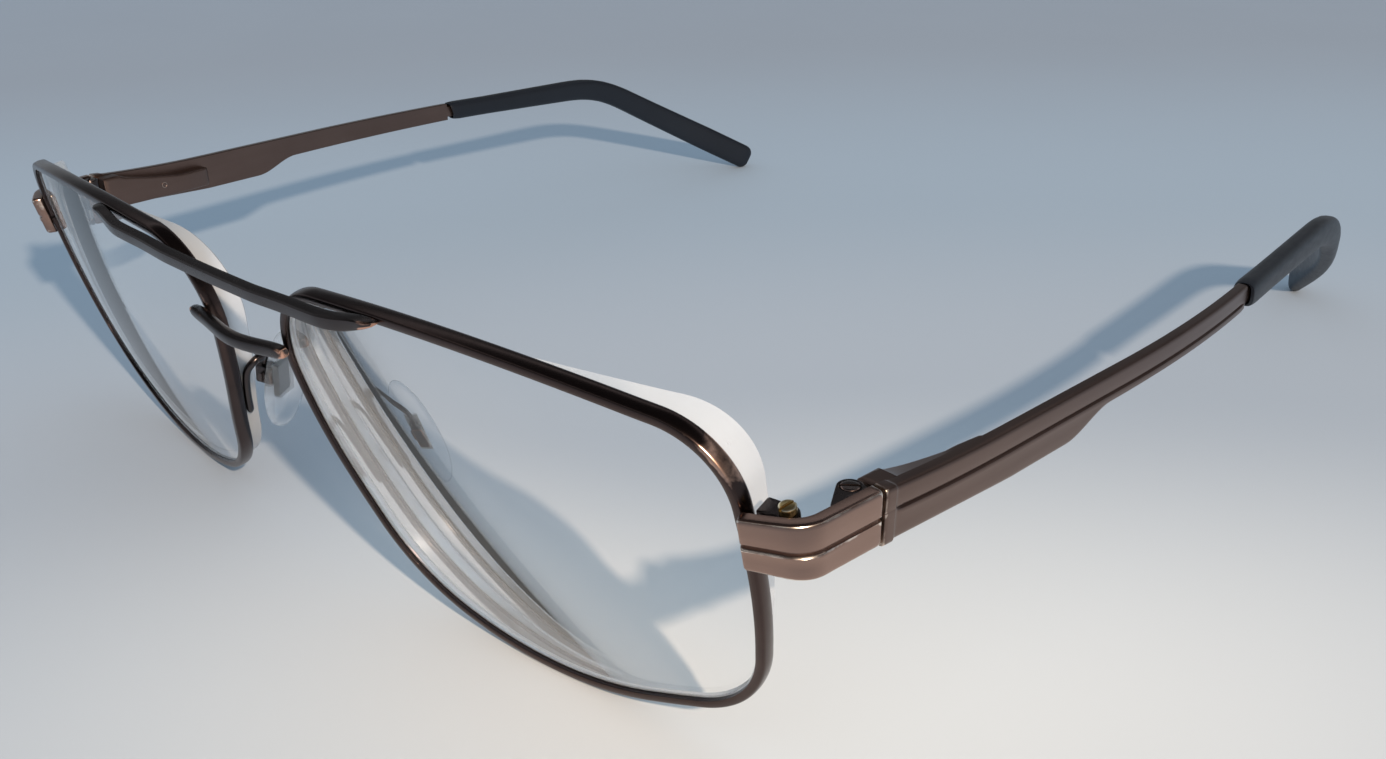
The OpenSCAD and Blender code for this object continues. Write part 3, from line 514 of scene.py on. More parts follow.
def lens_shape(side):
    """Lens from the middle of its front, over the ridge in the wire's groove, to that of its back.

    Its wear value says how near its rim a point is.
    """
    skew = 0.005 if side > 0 else 0.001

    def ring(off, k, depth):
        out = []
        for p, d in SHUT:
            c = (p + d * off) * k
            out.append(lens((c[0], sag(*c) + depth(c), c[1])))
        return out

    def front(off, deep, k=1.0):
        return ring(off, k, lambda c: deep)

    def back(off, deep, k=1.0):
        return ring(off, k, lambda c: LIP + thick(c[0], c[1], skew) + deep)

    rows = [(front(-LENS_FIT, LIP, k), 0, k ** 6) for k in LENS_SHARES]
    for off, deep in ((-LENS_FIT - FRONT_BEVEL, LIP), (-LENS_FIT, LIP + 0.07),
                      (-LENS_FIT, RIDGE_MID - RIDGE_HALF), (RIDGE_OUT, RIDGE_MID),
                      (-LENS_FIT, RIDGE_MID + RIDGE_HALF)):
        rows.append((front(off, deep), 1, 1))
    edge_from, edge_to = np.array(rows[-1][0]), np.array(back(-LENS_FIT, -0.3))
    rows += [(mix(edge_from, edge_to, k / EDGE_ROWS), 1, 1) for k in range(1, EDGE_ROWS + 1)]
    rows.append((back(-LENS_FIT - BACK_BEVEL, 0.0), 0, 1))
    rows += [(back(-LENS_FIT - BACK_BEVEL * k, 0.0, k), 0, k ** 6) for k in LENS_SHARES[::-1]]
    rings, mats, wear = zip(*rows)
    return Shape().loft([list(r) for r in rings], mat=mats, wear=np.array(wear)[:, None], fan=True)


for side, name in SIDES:
    build("eyewire_" + name, rim(side), [RIM], "front", ["rim_" + name], side, 40)
    build("glass_" + name, lens_shape(side), [LENS, EDGE], "front", ["lens_" + name], side, 20)

# Brow bar and bridge, in the face's frame

BAR_X, BAR_V, BAR_H, BAR_D = 26.9, 16.4, 1.6, 1.3
BAR_BOW, BAR_RISE, BAR_LIFT, BAR_AHEAD, SOLDER = 0.75, 0.8, 0.45, 0.45, 0.03
BAR_TAPER, BAR_NOSE = 5, 1.2
BAR_RINGS, BAR_N = 72, 24


def brow():
    """Flat bar, bowed forward between the eyewires, which lies on their fronts and tapers to its ends."""
    t = (np.arange(BAR_N) + 0.5) * 360 / BAR_N
    corner = np.abs(np.sin(2 * t * D)) ** 4 * 0.18
    rings, wear = [], []
    for i in range(-BAR_RINGS, BAR_RINGS + 1):
        x = BAR_X * math.copysign(1 - (1 - abs(i) / BAR_RINGS) ** 1.35, i) if i else 0.0
        a = abs(x)
        near, end = ease((a - 8) / 8), ease((a - BAR_X + BAR_TAPER) / BAR_TAPER)
        out = 1 - ease((a - BAR_X + 7.5) / 6.5)
        u = a - LENS_X
        rim_y = u * math.sin(FORM * D) + sag(u, BAR_V + BAR_RISE) * math.cos(FORM * D)
        y = rim_y * near - BAR_AHEAD * (1 - near) - BAR_D / 2 - SOLDER - BAR_BOW * out
        z = BAR_V + BAR_RISE * (a / BAR_X) ** 2 + BAR_LIFT * end
        h = BAR_H / 2 * (1 - 0.75 * clamp((a - BAR_X + BAR_TAPER) / BAR_TAPER) ** 2)
        d = BAR_D / 2 * (1 - 0.35 * clamp((a - BAR_X + BAR_NOSE) / BAR_NOSE) ** 2)
        ring = bar((x, y + BAR_D / 2 - d, z), (0, 1, 0), (0, 0, 1), d, h, BAR_N, 5)
        rings.append([face(p) for p in ring])
        # worn copper at the bar's ends, heavier on the lower side, is partly wear and partly a painted copper
        # glint
        tip = ease((a - BAR_X + 2.6) / 2.2)
        wear.append(corner + tip * (0.35 + 0.6 * (np.sin(t * D) < -0.2)))
    return Shape().loft(rings, wear=wear)


BRIDGE_X, BRIDGE_Z, BRIDGE_Y, BRIDGE_D, BRIDGE_H = 9, 8.9, -0.72, 0.7, 0.78
BRIDGE_BOW, BRIDGE_RISE, BRIDGE_RINGS = 0.8, 0.5, 30


def bridge():
    """Short rounded bar below the brow bar, bowed forward."""
    t = (np.arange(BAR_N) + 0.5) * 360 / BAR_N
    rings, wear = [], []
    for i in range(-BRIDGE_RINGS, BRIDGE_RINGS + 1):
        x = BRIDGE_X * math.sin(math.pi / 2 * i / BRIDGE_RINGS)
        a = clamp(abs(x) / BRIDGE_X)
        y = BRIDGE_Y - BRIDGE_D - BRIDGE_BOW * (1 - ease(a * 1.05))
        h = BRIDGE_H * math.sqrt(1 - 0.6 * a ** 12)
        d = BRIDGE_D * math.sqrt(1 - 0.5 * a ** 14)
        ring = bar((x, y, BRIDGE_Z + BRIDGE_RISE * a * a), (0, 1, 0), (0, 0, 1), d, h, BAR_N, 3)
        rings.append([face(p) for p in ring])
        # edge wear on the corners; the worn copper at the ends is partly wear and partly a painted copper
        # glint
        wear.append(np.abs(np.sin(2 * t * D)) ** 4 * 0.35 + ease((a - 0.86) / 0.14) * 0.45)
    return Shape().loft(rings, wear=wear)


build("brow_bar_shape", brow(), [GUN], "front", ["brow_bar"])
build("bridge_shape", bridge(), [GUN], "front", ["bridge"])

# Endpieces: s runs along the plate's outer face, from the eyewire to the hinge

END_H, END_T, LINE_D, LINE_W = 5.2, 1.3, 0.25, 0.45
RIM_U = at_v(COARSE, SPLIT_V)[0][0] + WIRE_T
RIM_EDGE = lens((RIM_U, sag(RIM_U, SPLIT_V), SPLIT_V))
END_IN, END_OUT, END_STRAIGHT, END_SIDE, END_ROUND = 22.5, 9.0, 3.5, 6.0, 3.5
END_AT = np.array([RIM_EDGE[0] + 0.2, RIM_EDGE[1] - 0.3 - END_T * math.cos(END_IN * D)])
PIN_Z = RIM_EDGE[2] + 0.1
END_TURN = 90 - END_IN - END_OUT
END_ARC = END_ROUND * END_TURN * D
END_BEND = END_STRAIGHT + END_ARC
END_TOTAL = END_BEND + END_SIDE
END_CORNER = END_AT + END_STRAIGHT * heading(END_IN)


def end_dir(s):
    return END_IN + clamp((s - END_STRAIGHT) / END_ARC) * END_TURN


def end_at(s):
    if s < END_STRAIGHT:
        return END_AT + s * heading(END_IN)
    return (END_CORNER + END_ROUND * (heading(END_IN + 90) + heading(end_dir(s) - 90))
            + max(0, s - END_STRAIGHT - END_ARC) * heading(end_dir(s)))


END_TIP = end_at(END_TOTAL)
# rounded edge of plate and temple: inward, down from the top, and wear, which the endpiece raises into a
# painted highlight along its top edge
ROUND_EDGE = [(0.4, 0.0, .0), (0.2, 0.045, .15), (0.09, 0.14, .4), (0.02, 0.3, .1), (0.0, 0.5, 0)]


def profile(top, low, line, t, w=LINE_W, d=LINE_D, ridge=0.05):
    """Closed ring of (inward, height, wear) for a bar with a groove at line and a soft ridge under it."""
    up, down = line + w / 2, line - w / 2
    pts = [(t, top - 0.1, .1), (t - 0.1, top, .2)]
    pts += [(a, top - b, c) for a, b, c in ROUND_EDGE]
    pts += [(0.0, mix(top - 0.5, up, 0.5), 0), (0.0, up + 0.12, 0), (0.02, up, .2), (d * 0.8, up - 0.09, -.3),
            (d, line + w * 0.2, -.5), (d, line - w * 0.2, -.5), (d * 0.8, down + 0.09, -.3), (0.0, down, .35),
            (-ridge, down - 0.14, .3), (-ridge * 0.6, down - 0.4, .05), (0.0, down - 0.62, 0),
            (0.0, mix(down - 0.6, low + 0.5, 0.5), 0)]
    pts += [(a, low + b, c) for a, b, c in ROUND_EDGE[::-1]]
    pts += [(t - 0.1, low, .2), (t, low + 0.1, .1)]
    return pts


def endpiece():
    """Grooved plate that leans with the face at the eyewire and stands upright at the hinge; pale worn colour
    along its top edge and the ridge under its groove is a painted highlight.
    """
    stops = [0, 0.06, 0.16, 0.3, 0.6, 1.2, 2.0, 2.8, END_STRAIGHT]
    stops += [END_STRAIGHT + END_ARC * k / 14 for k in range(1, 15)]
    stops += [mix(END_BEND, END_TOTAL, k) for k in (0.2, 0.4, 0.6, 0.8, 0.93, 0.985, 1)]
    rings, wear = [], []
    for s in stops:
        p, inw = end_at(s), heading(end_dir(s) + 90)
        lean = math.tan(PANTO * D) * (1 - ease(s / END_BEND))
        # its front end is rounded off and its rear end just broken
        trim = 0.22 * (1 - math.sqrt(clamp(1 - (1 - clamp(s / 0.3)) ** 2)))
        trim += 0.05 * clamp((s - END_TOTAL + 0.12) / 0.12)
        ridge = 0.11 * (1 - ease((s - 4.5) / 6))
        ends = (0.5 if s > END_TOTAL - 0.2 else 0) + 0.15 * (s < 0.2)
        ring, w = [], []
        for inward, height, worn in profile(END_H / 2, -END_H / 2, 0.0, END_T, ridge=ridge):
            a = mix(inward, END_T / 2, trim / (END_T / 2) * 0.8)
            z = height * (1 - trim / (END_H / 2))
            ring.append((p[0] + inw[0] * a, p[1] + inw[1] * a - lean * z, PIN_Z + z))
            # the wear is raised 1.7 times, so the top edge and the ridge under the groove show a painted pale
            # highlight; ends adds the worn ends
            w.append(worn * 1.7 + ends)
        rings.append(ring)
        wear.append(w)
    return Shape().loft(rings, wear=wear)


# Hinge knuckles, in a frame on the hinge screw

KNUCKLE_R, PIN_R, HEAD_R, HEAD_H, RUN, GAP, EYE_H, EYE_DROP = 1.15, 0.5, 0.85, 0.5, 0.03, 0.08, 1.4, 0.65
PIN_BACK, LEAF_LEN, WEB_LEN = 1.1, 3.5, 1.0
PIN_IN = END_T + 0.03 + KNUCKLE_R
PIN_X = END_TIP[0] - PIN_IN * math.cos(END_OUT * D) - PIN_BACK * math.sin(END_OUT * D)
PIN_Y = END_TIP[1] + PIN_IN * math.sin(END_OUT * D) - PIN_BACK * math.cos(END_OUT * D)
PIN_TOP = END_H / 2 - 0.2
HOLED_N = 96


def reach(outline, a):
    """Distance from the origin to a closed outline in direction a."""
    tiny, touching = 1e-9, 1e-6
    d = heading(a)
    best = 0.0
    n = len(outline)
    for i in range(n):
        p, q = outline[i], outline[(i + 1) % n]
        e = q - p
        den = d[0] * e[1] - d[1] * e[0]
        if abs(den) < tiny:
            continue
        t = (p[0] * e[1] - p[1] * e[0]) / den
        k = (p[0] * d[1] - p[1] * d[0]) / den
        if t > 0 and -touching <= k <= 1 + touching:
            best = max(best, t)
    return best


def holed(shape, outline, z0, z1, bores, c=0.14, wear=0.3):
    """Block with broken edges and a round bore: bores is [(height, radius), ...] from the top down."""
    ang = [360 * k / HOLED_N for k in range(HOLED_N)]
    r = np.array([reach(outline, a) for a in ang])
    ca, sa = np.cos(np.radians(ang)), np.sin(np.radians(ang))

    def ring(rad, z):
        return np.stack([rad * ca, rad * sa, np.full(HOLED_N, z)], 1)

    mouth = bores[0][1]
    rows = [(r - c, z0, 0), (r - c * 0.3, z0 + c * 0.3, wear * 0.5), (r, z0 + c, 0), (r, z1 - c, 0),
            (r - c * 0.3, z1 - c * 0.3, wear), (r - c, z1, wear * 0.4), (mix(r, mouth + 0.08, 0.6), z1, 0),
            (mouth + 0.06, z1, wear)]
    rows += [(b, h, 0) for h, b in bores]
    shape.loft([ring(rad, z) for rad, z, _ in rows], closed=True, wear=[[w] for _, _, w in rows])
    return shape


def leaf_outline():
    """Round knuckle that runs out, tangent to it, to the corner by the endpiece."""
    corner = np.array([KNUCKLE_R, -LEAF_LEN])
    d = corner @ corner
    k = KNUCKLE_R * math.sqrt(d - KNUCKLE_R ** 2) / d
    touch = corner * KNUCKLE_R ** 2 / d + k * np.array([corner[1], -corner[0]])
    last = math.degrees(math.atan2(touch[1], touch[0])) % 360
    pts = [np.array([KNUCKLE_R, PIN_BACK - 0.1])]
    pts += [KNUCKLE_R * heading(mix(48, last, k / 32)) for k in range(33)]
    return pts + [mix(touch, corner, 0.86), corner + (-0.12, 0.02), corner]


def knuckles():
    """Upper and lower leaf with room for the slider's eye between them, joined by a web at the front."""
    s = Shape()
    out = leaf_outline()
    upper_z, lower_z = EYE_H / 2 + GAP - EYE_DROP, -EYE_H / 2 - GAP - EYE_DROP
    seat_z, seat_r, bore_r = PIN_TOP - HEAD_H + 0.05, HEAD_R + RUN, PIN_R + RUN
    holed(s, out, upper_z, PIN_TOP, [(PIN_TOP - 0.05, seat_r), (seat_z, seat_r), (seat_z, bore_r),
                                     (upper_z, bore_r)])
    holed(s, out, -PIN_TOP, lower_z, [(lower_z, bore_r), (-PIN_TOP, bore_r)])
    a, b = out[-4], out[-1]

    def inner(y):
        return mix(a[0], b[0], (y - a[1]) / (b[1] - a[1])) + 0.03

    y0, y1, x1 = -LEAF_LEN + 0.03, -LEAF_LEN + WEB_LEN, KNUCKLE_R - 0.02
    quad = [(inner(y0), y0), (x1, y0), (x1, y1), (inner(y1), y1)]
    s.loft([[(x, y, z) for x, y in quad] for z in (lower_z - 0.05, upper_z + 0.05)])
    turn = rot("Z", -END_OUT)
    return s.move(lambda p: turn @ p + (PIN_X, PIN_Y, PIN_Z))


# Screws and closing blocks


def screw(r, z0, z1, slit, depth, turn, dome, shank):
    """Slotted cheese head on a shank (radius, lower end): a disc under the slot, two D shapes beside it."""
    shape = Shape()
    round_n = circle(40)
    floor = z1 - depth
    shape.loft([[(x * shank[0], y * shank[0], z) for x, y in round_n] for z in (shank[1], z0 + 0.02)])
    disc = ((r - 0.06, z0), (r, z0 + 0.06), (r, floor))
    shape.loft([[(x * q, y * q, z) for x, y in round_n] for q, z in disc])
    rows = ((1, floor, 0), (1, z1 - 0.1, 0), (1 - 0.035 / r, z1 - 0.035, .7), (1 - 0.1 / r, z1, .5),
            (0.6, z1 + dome * 0.7, .1))
    from_slot = math.asin(slit / 2 / r)
    an = np.linspace(from_slot, math.pi - from_slot, 24)
    for sign in (1, -1):
        arc = np.stack([np.cos(an), np.sin(an) * sign], 1)
        rings = [[(x * r * q, max(abs(y) * r * q, slit / 2 + (0.02 if k else 0)) * sign, z) for x, y in arc]
                 for q, z, k in rows]
        shape.loft(rings, wear=[[k] for _, _, k in rows])
    m = rot("Z", turn)
    return shape.move(lambda p: m @ p)


def hinge_screw():
    s = screw(HEAD_R - 0.02, PIN_TOP - HEAD_H + 0.08, PIN_TOP + 0.04, 0.24, 0.2, 35, 0.03,
              (PIN_R, -PIN_TOP + 0.02))
    return s.move(lambda p: p + (PIN_X, PIN_Y, PIN_Z))


BLOCK_L, BLOCK_D, BLOCK_H, BLOCK_BORE = 2.4, 1.9, 1.9, 0.53
BLOCK_U = RIM_U + 0.15
BLOCK_W = sag(BLOCK_U, SPLIT_V) + 0.95


def at_screw(p):
    """From a frame on the lock screw, at the height of the eyewire's cut."""
    return lens(np.array([BLOCK_U + BLOCK_L, BLOCK_W + BLOCK_D / 2, SPLIT_V]) + p)


def block(low):
    """Closing block with a round outer end; low is its lower face."""
    r, near, high = BLOCK_D / 2, -BLOCK_L + 0.1, low + BLOCK_H
    pts = [np.array([near, -r]), np.array([0.0, -r])]
    pts += [r * heading(a) for a in np.linspace(-90, 90, 25)[1:]]
    pts += [np.array([near, r]), np.array([-BLOCK_L, r - 0.1]), np.array([-BLOCK_L, -r + 0.1])]
    return holed(Shape(), pts, low, high, [(high, BLOCK_BORE), (low, BLOCK_BORE)], c=0.13).move(at_screw)


def lock_screw():
    z = SPLIT / 2 + BLOCK_H + 0.03
    return screw(0.74, z, z + 0.7, 0.26, 0.24, 70, 0.09, (0.5, -SPLIT / 2 - BLOCK_H + 0.2)).move(at_screw)


for side, name in SIDES:
    build("endpiece_shape_" + name, endpiece(), [PLATE], "front", ["endpiece_" + name],
          side, 38)
    build("knuckles_shape_" + name, knuckles(), [GUN], "front", ["knuckles_" + name],
          side, 38)
    build("hinge_screw_head_" + name, hinge_screw(), [PIN], "hinge_pin_" + name, ["hinge_screw_" + name],
          side)
    build("lock_block_upper_" + name, block(SPLIT / 2), [GUN], "front", ["lock_upper_" + name],
          side, 38)
    build("lock_block_lower_" + name, block(-SPLIT / 2 - BLOCK_H), [GUN], "front", ["lock_lower_" + name],
          side, 38)
    build("lock_screw_shape_" + name, lock_screw(), [GOLD], "front", ["lock_screw_" + name], side)

# Temples: s runs back along the bar, and the sleeve has its own s from the bar's end

BAR_LEN, TEMPLE_T, SPLAY, DIP, TEMPLE_H = 69.0, 1.25, 5.3, 2.4, 5.1
WIDE_H, NARROW_H, REAR_H, LINE_DROP = 5.2, 3.3, 3.0, 2.1
BEND_S, BEND_R, STEP_S, STEP_LEN = 38.0, 230.0, 27.5, 7.5
COLLAR, COLLAR_H, SHOULDER, TOP_END, SEAM = 1.3, 0.13, 18.0, 1.75, 0.08
SEAM_LEAN = (TEMPLE_H / 2 + COLLAR_H) * math.sin(DIP * D) + TEMPLE_T * math.sin((END_OUT - SPLAY) * D)
TEMPLE_AT = np.array([END_TIP[0], END_TIP[1] + SEAM + SEAM_LEAN, PIN_Z - 0.1])
TEMPLE_R = rot("Z", -SPLAY) @ rot("X", -DIP)


def temple(p):
    return TEMPLE_AT + TEMPLE_R @ np.asarray(p, float)


def bend_x(s):
    return -max(0.0, s - BEND_S) ** 2 / (2 * BEND_R)


def temple_top(s):
    return mix(TEMPLE_H / 2, TOP_END, 1 - (1 - clamp(s / SHOULDER)) ** 2)


def temple_low(s):
    wide = mix(-TEMPLE_H / 2, TOP_END - WIDE_H, clamp(s / SHOULDER))
    rear = TOP_END - mix(NARROW_H, REAR_H, clamp((s - STEP_S) / (BAR_LEN - STEP_S)))
    return mix(wide, rear, ease((s - STEP_S) / STEP_LEN))


TIP_LEN, TIP_H, TIP_END_H, TIP_T = 80.5, 3.3, 5.1, 2.6
DIP_S, DIP_LEN, DIP_ANGLE, TURN_S, TURN_LEN, TURN_IN = 27.0, 20.0, 26.97, 31.0, 41.0, 22.3
BEND_ANGLE = (BAR_LEN - BEND_S) / BEND_R / D
TIP_STEPS, CORE_LEN, CORE_RINGS = 40, 70, 24
MOUTH_LEAN, MOUTH_LEN = 0.8, 4


def tip_dir(s):
    """Direction of the sleeve's centre line, which bends down and inward."""
    p = (DIP_ANGLE * ease((s - DIP_S) / DIP_LEN) + 1) * D
    y = tip_yaw(s) * D
    return np.array([-math.sin(y) * math.cos(p), math.cos(y) * math.cos(p), -math.sin(p)])


def tip_yaw(s):
    return BEND_ANGLE + TURN_IN * ease((s - TURN_S) / TURN_LEN)


TIP_Z = (temple_top(BAR_LEN) + temple_low(BAR_LEN)) / 2
TIP_PATH = [np.array([bend_x(BAR_LEN) - TEMPLE_T / 2, BAR_LEN, TIP_Z])]
for k in range(TIP_STEPS):
    TIP_PATH.append(TIP_PATH[-1] + tip_dir(TIP_LEN / TIP_STEPS * (k + 0.5)) * TIP_LEN / TIP_STEPS)


def tip_pos(s):
    f = s / TIP_LEN * TIP_STEPS
    i = max(0, min(TIP_STEPS - 1, math.floor(f)))
    return mix(TIP_PATH[i], TIP_PATH[i + 1], f - i)


def tip_axes(s):
    y = tip_yaw(s) * D
    side = np.array([math.cos(y), math.sin(y), 0])
    return side, np.cross(side, tip_dir(s))


def bar_shape():
    """Grooved bar with a collar at the hinge and a step in its lower edge, and its core wire."""
    stops = [0, 0.05, 0.12, 0.5] + [COLLAR + k for k in (-0.12, 0, 0.12, 0.25, 0.45)]
    stops += list(np.arange(2.4, STEP_S, 1.6)) + list(np.linspace(STEP_S, STEP_S + STEP_LEN, 16))
    stops += list(np.arange(STEP_S + STEP_LEN + 1.5, BAR_LEN - 2.2, 1.8))
    stops += [BAR_LEN - k for k in (2, 1.4, 1.1, 1.0)]
    rings, wear = [], []
    for s in stops:
        grow = COLLAR_H * (1 - ease((s - COLLAR + 0.05) / 0.3)) - 0.05 * clamp((0.12 - s) / 0.12)
        top, low = temple_top(s) + grow, temple_low(s) - grow
        # the groove starts behind the collar and runs out before the sleeve
        depth = LINE_D * ease((s - COLLAR - 0.15) / 0.6) * (1 - ease((s - BAR_LEN + 2.2) / 1.2))
        open_share = clamp(depth / LINE_D)
        ring, w = [], []
        for inward, height, worn in profile(top, low, temple_top(s) - LINE_DROP, TEMPLE_T + grow,
                                            LINE_W * mix(0.35, 1, open_share), max(depth, 0.012),
                                            0.05 * open_share):
            ring.append(temple((grow + bend_x(s) - inward, s, height)))
            w.append(worn * (0.55 if s > 3 else 1) + 0.6 * (s < 0.3) - 0.1)
        rings.append(ring)
        wear.append(w)
    shape = Shape().loft(rings, wear=wear)
    core = []
    for k in range(CORE_RINGS):
        s = CORE_LEN * k / (CORE_RINGS - 1)
        side, up = tip_axes(s)
        f = clamp(s / 74.5)
        start = tip_pos(s) - tip_dir(0) * (1.3 if k == 0 else 0)
        core.append([temple(q) for q in bar(start, side, up, mix(0.6, 0.45, f), mix(1.05, 0.8, f), 12)])
    return shape.loft(core)


def slanted(ring, s, half_height):
    """The ring near the sleeve's mouth, which is cut with its top ahead of its bottom."""
    _, up = tip_axes(s)
    lean = MOUTH_LEAN * (1 - ease(s / MOUTH_LEN))
    return ring - np.outer((ring - tip_pos(s)) @ up / half_height * lean * 0.6, tip_dir(s))


def sleeve_shape():
    """Plastic sleeve that grows taller to its rounded end, hollow at the mouth."""
    stops = [0, 0.12, 0.35, 0.7, 1.1, 1.5] + list(np.linspace(2.2, TIP_LEN - 2.6, 64))
    stops += [TIP_LEN - k for k in (2, 1.4, 0.9, 0.5, 0.22, 0.06, 0)]
    n = 32
    rings = []
    for s in stops:
        side, up = tip_axes(s)
        cap = 1
        if s < 1.5:
            cap = 0.9 + 0.1 * math.sqrt(clamp(s / 1.5))
        elif s > TIP_LEN - 2:
            cap = math.sqrt(max(0.0, 1 - 0.62 * ((s - TIP_LEN + 2) / 2) ** 2.6))
        tall = mix(TIP_H, TIP_END_H, clamp((s - 8) / (TIP_LEN - 20)))
        ring = bar(tip_pos(s), side, up, TIP_T / 2 * cap * mix(1, 0.86, s / TIP_LEN), tall / 2 * cap, n, 3.2)
        rings.append([temple(p) for p in slanted(ring, s, tall / 2)])
    shape = Shape().loft(rings, cap=(0, 1), fan=True)
    # the hollow's half width and half height, a little larger at its mouth
    wide, high, flare = 0.79, 1.33, 0.9 / 0.88
    wall = []
    for s, a, b in ((0.0, TIP_T / 2 * 0.9, TIP_H / 2 * 0.9), (0.05, wide * flare, high * flare),
                    (3.0, wide, high)):
        side, up = tip_axes(s)
        ring = slanted(bar(tip_pos(s), side, up, a, b, n, 3.2), s, TIP_H / 2)
        wall.append([temple(p) for p in ring])
    return shape.loft(wall, cap=(0, 1))


# Spring boxes and the coils in them

BOX_Y, BOX_LEN, BOX_T, BOX_H, BOX_LOW, HOOD_LEN, HOOD_SLOPE = 0.35, 17.5, 2.1, 2.8, 0.35, 2.9, 9.5
STOP_S, STOP_LEN, ROD_BACK, SEAT = 8.2, 2.0, 2.2, 0.03
LINE_X = (PIN_X - TEMPLE_AT[0]) * math.cos(SPLAY * D) - (PIN_Y - TEMPLE_AT[1]) * math.sin(SPLAY * D)
BOX_X = -TEMPLE_T - BOX_T
BOX_BOTTOM = -EYE_DROP - BOX_LOW - BOX_H / 2
BOX_TOP = BOX_BOTTOM + BOX_H
BOX_END = BOX_Y + BOX_LEN
PEG_S = BOX_Y + STOP_S + STOP_LEN / 2


def spring_box():
    """Box on the temple's inner face: a tall hood at the hinge that slopes down to a thinner tail."""
    hood = TEMPLE_H / 2 - 0.3
    x1 = BOX_X + BOX_T - SEAT
    stops = [BOX_Y, BOX_Y + 0.05, BOX_Y + 0.14, 1.2, 2.2] + [HOOD_LEN + 2 * k / 8 for k in range(9)]
    stops += list(np.linspace(5.4, BOX_END - 1.0, 14))
    stops += [BOX_END - k for k in (0.75, 0.5, 0.3, 0.15, 0.05, 0)]
    rings, wear = [], []
    for s in stops:
        end = clamp((s - BOX_Y - BOX_LEN + 1.0) / 1.0)
        thin = 0.1 * (1 - clamp((s - BOX_Y) / 0.14)) + 0.25 * end ** 3
        top = mix(hood, BOX_TOP - 0.1, clamp((s - HOOD_LEN) / HOOD_SLOPE) ** 0.62) - thin
        low = BOX_BOTTOM + thin
        x0 = BOX_X + 0.7 * end ** 1.6 + 0.4 * clamp((s - BOX_Y - BOX_LEN + 4.0) / 4.0) + thin
        upper_r = mix(0.5, 0.3, ease((s - HOOD_LEN) / 2.0))
        pts = rounded([(x1, top, 0), (x0, top, upper_r), (x0, low, 0.3), (x1, low, 0)], 5)
        rings.append([temple((x, s, z)) for x, z in pts])
        wear.append([0.25 * (abs(x - x0) < 0.35) for x, z in pts])
    return Shape().loft(rings, wear=wear)


def with_peg(shape):
    """Adds the end of the bushing's peg in the box's inner face, a shallow dimple with a ring."""
    rows = ((0.43, 0.0, 0), (0.43, 0.022, .4), (0.36, 0.03, .7), (0.33, 0.0, -.4), (0.22, -0.02, -.5))
    rings = [[temple((BOX_X - h, PEG_S + r * c, -EYE_DROP + r * e)) for c, e in circle(32)]
             for r, h, _ in rows]
    return shape.loft(rings, wear=[[k] for _, _, k in rows], cap=(0, 1))


COIL_TURNS, COIL_WIRE, COIL_R, COIL_STEPS = 9, 0.11, 0.45, 16
COIL_A = BOX_Y + STOP_S + STOP_LEN + COIL_WIRE + SEAT
COIL_B = BOX_END - ROD_BACK - COIL_WIRE - 2 * SEAT


def coil():
    """Wire coil on the slider's tail rod, from the stop bushing to the nut."""
    rings = []
    n = COIL_TURNS * COIL_STEPS
    for k in range(n + 1):
        a = 2 * math.pi * k / COIL_STEPS
        out = np.array([math.cos(a), 0.0, math.sin(a)])
        centre = np.array([LINE_X, mix(COIL_A, COIL_B, k / n), -EYE_DROP]) + COIL_R * out
        rings.append([temple(centre + COIL_WIRE * (c * out + np.array([0, e, 0]))) for c, e in circle(8)])
    return Shape().loft(rings)


for side, name in SIDES:
    body = "temple_" + name
    spring = build("coil_spring_" + name, coil(), [STEEL], None, ["spring_" + name], side, 60)
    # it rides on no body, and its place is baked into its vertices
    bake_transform(spring)
    build("temple_shape_" + name, bar_shape(), [BROWN], body, ["temple_" + name], side, 38)
    build("tip_shape_" + name, sleeve_shape(), [SLEEVE], body, ["tip_" + name], side, 50)
    build("spring_box_shape_" + name, with_peg(spring_box()), [BROWN], body,
          ["spring_box_" + name, "spring_stop_" + name], side, 38)

# Nose pads and their arms, in a frame on the pad screw: nose side at -x, along the pad z

PAD_AT = np.array([13.9, 6.3, FACE_Z - 3.7])
PAD_R = rot("Y", -14) @ rot("Z", -28)
PAD_LEN, PAD_W, PAD_BACK, PAD_DROP, PAD_N = 13.5, 7.4, -1.3, 0.3, 48
# the pad's crown from its flat back to the nose: x and share of the outline
PAD_CROWN = [(0.0, 0.72), (-0.015, 0.86), (-0.1, 0.93), (-0.22, 0.965), (-0.5, 0.995), (-0.85, 1.0),
             (-1.2, 0.97), (-1.55, 0.89), (-1.85, 0.76), (-2.1, 0.58), (-2.28, 0.38), (-2.36, 0.2)]
# the box's cup from its base round the mouth to its floor: x, half width and height, corner, wear
CUP = [(1.25, 0.72, 0.95, 0.2, 0.2), (1.2, 0.86, 1.1, 0.24, 0.6), (1.05, 0.95, 1.2, 0.26, 0.1),
       (-0.75, 0.95, 1.2, 0.26, 0.1), (-0.84, 0.9, 1.15, 0.22, 0.7), (-0.84, 0.66, 0.96, 0.12, 0.6),
       (-0.78, 0.6, 0.9, 0.1, 0), (0.78, 0.6, 0.9, 0.1, 0)]
ARM_R, ARM_LOW = 0.45, 7.6


def pad(p):
    return PAD_AT + PAD_R @ np.asarray(p, float)


def pad_shape():
    """Silicone pad, a little narrower at its top."""
    rings = []
    for x, k in PAD_CROWN:
        ring = []
        for i in range(PAD_N):
            c, s = math.cos(2 * math.pi * i / PAD_N), math.sin(2 * math.pi * i / PAD_N)
            y, z = k * PAD_W / 2 * c * (1 - 0.14 * s), k * PAD_LEN / 2 * s
            ring.append(pad((PAD_BACK + x, y, z - PAD_DROP)))
        rings.append(ring)
    return Shape().loft(rings, fan=True)


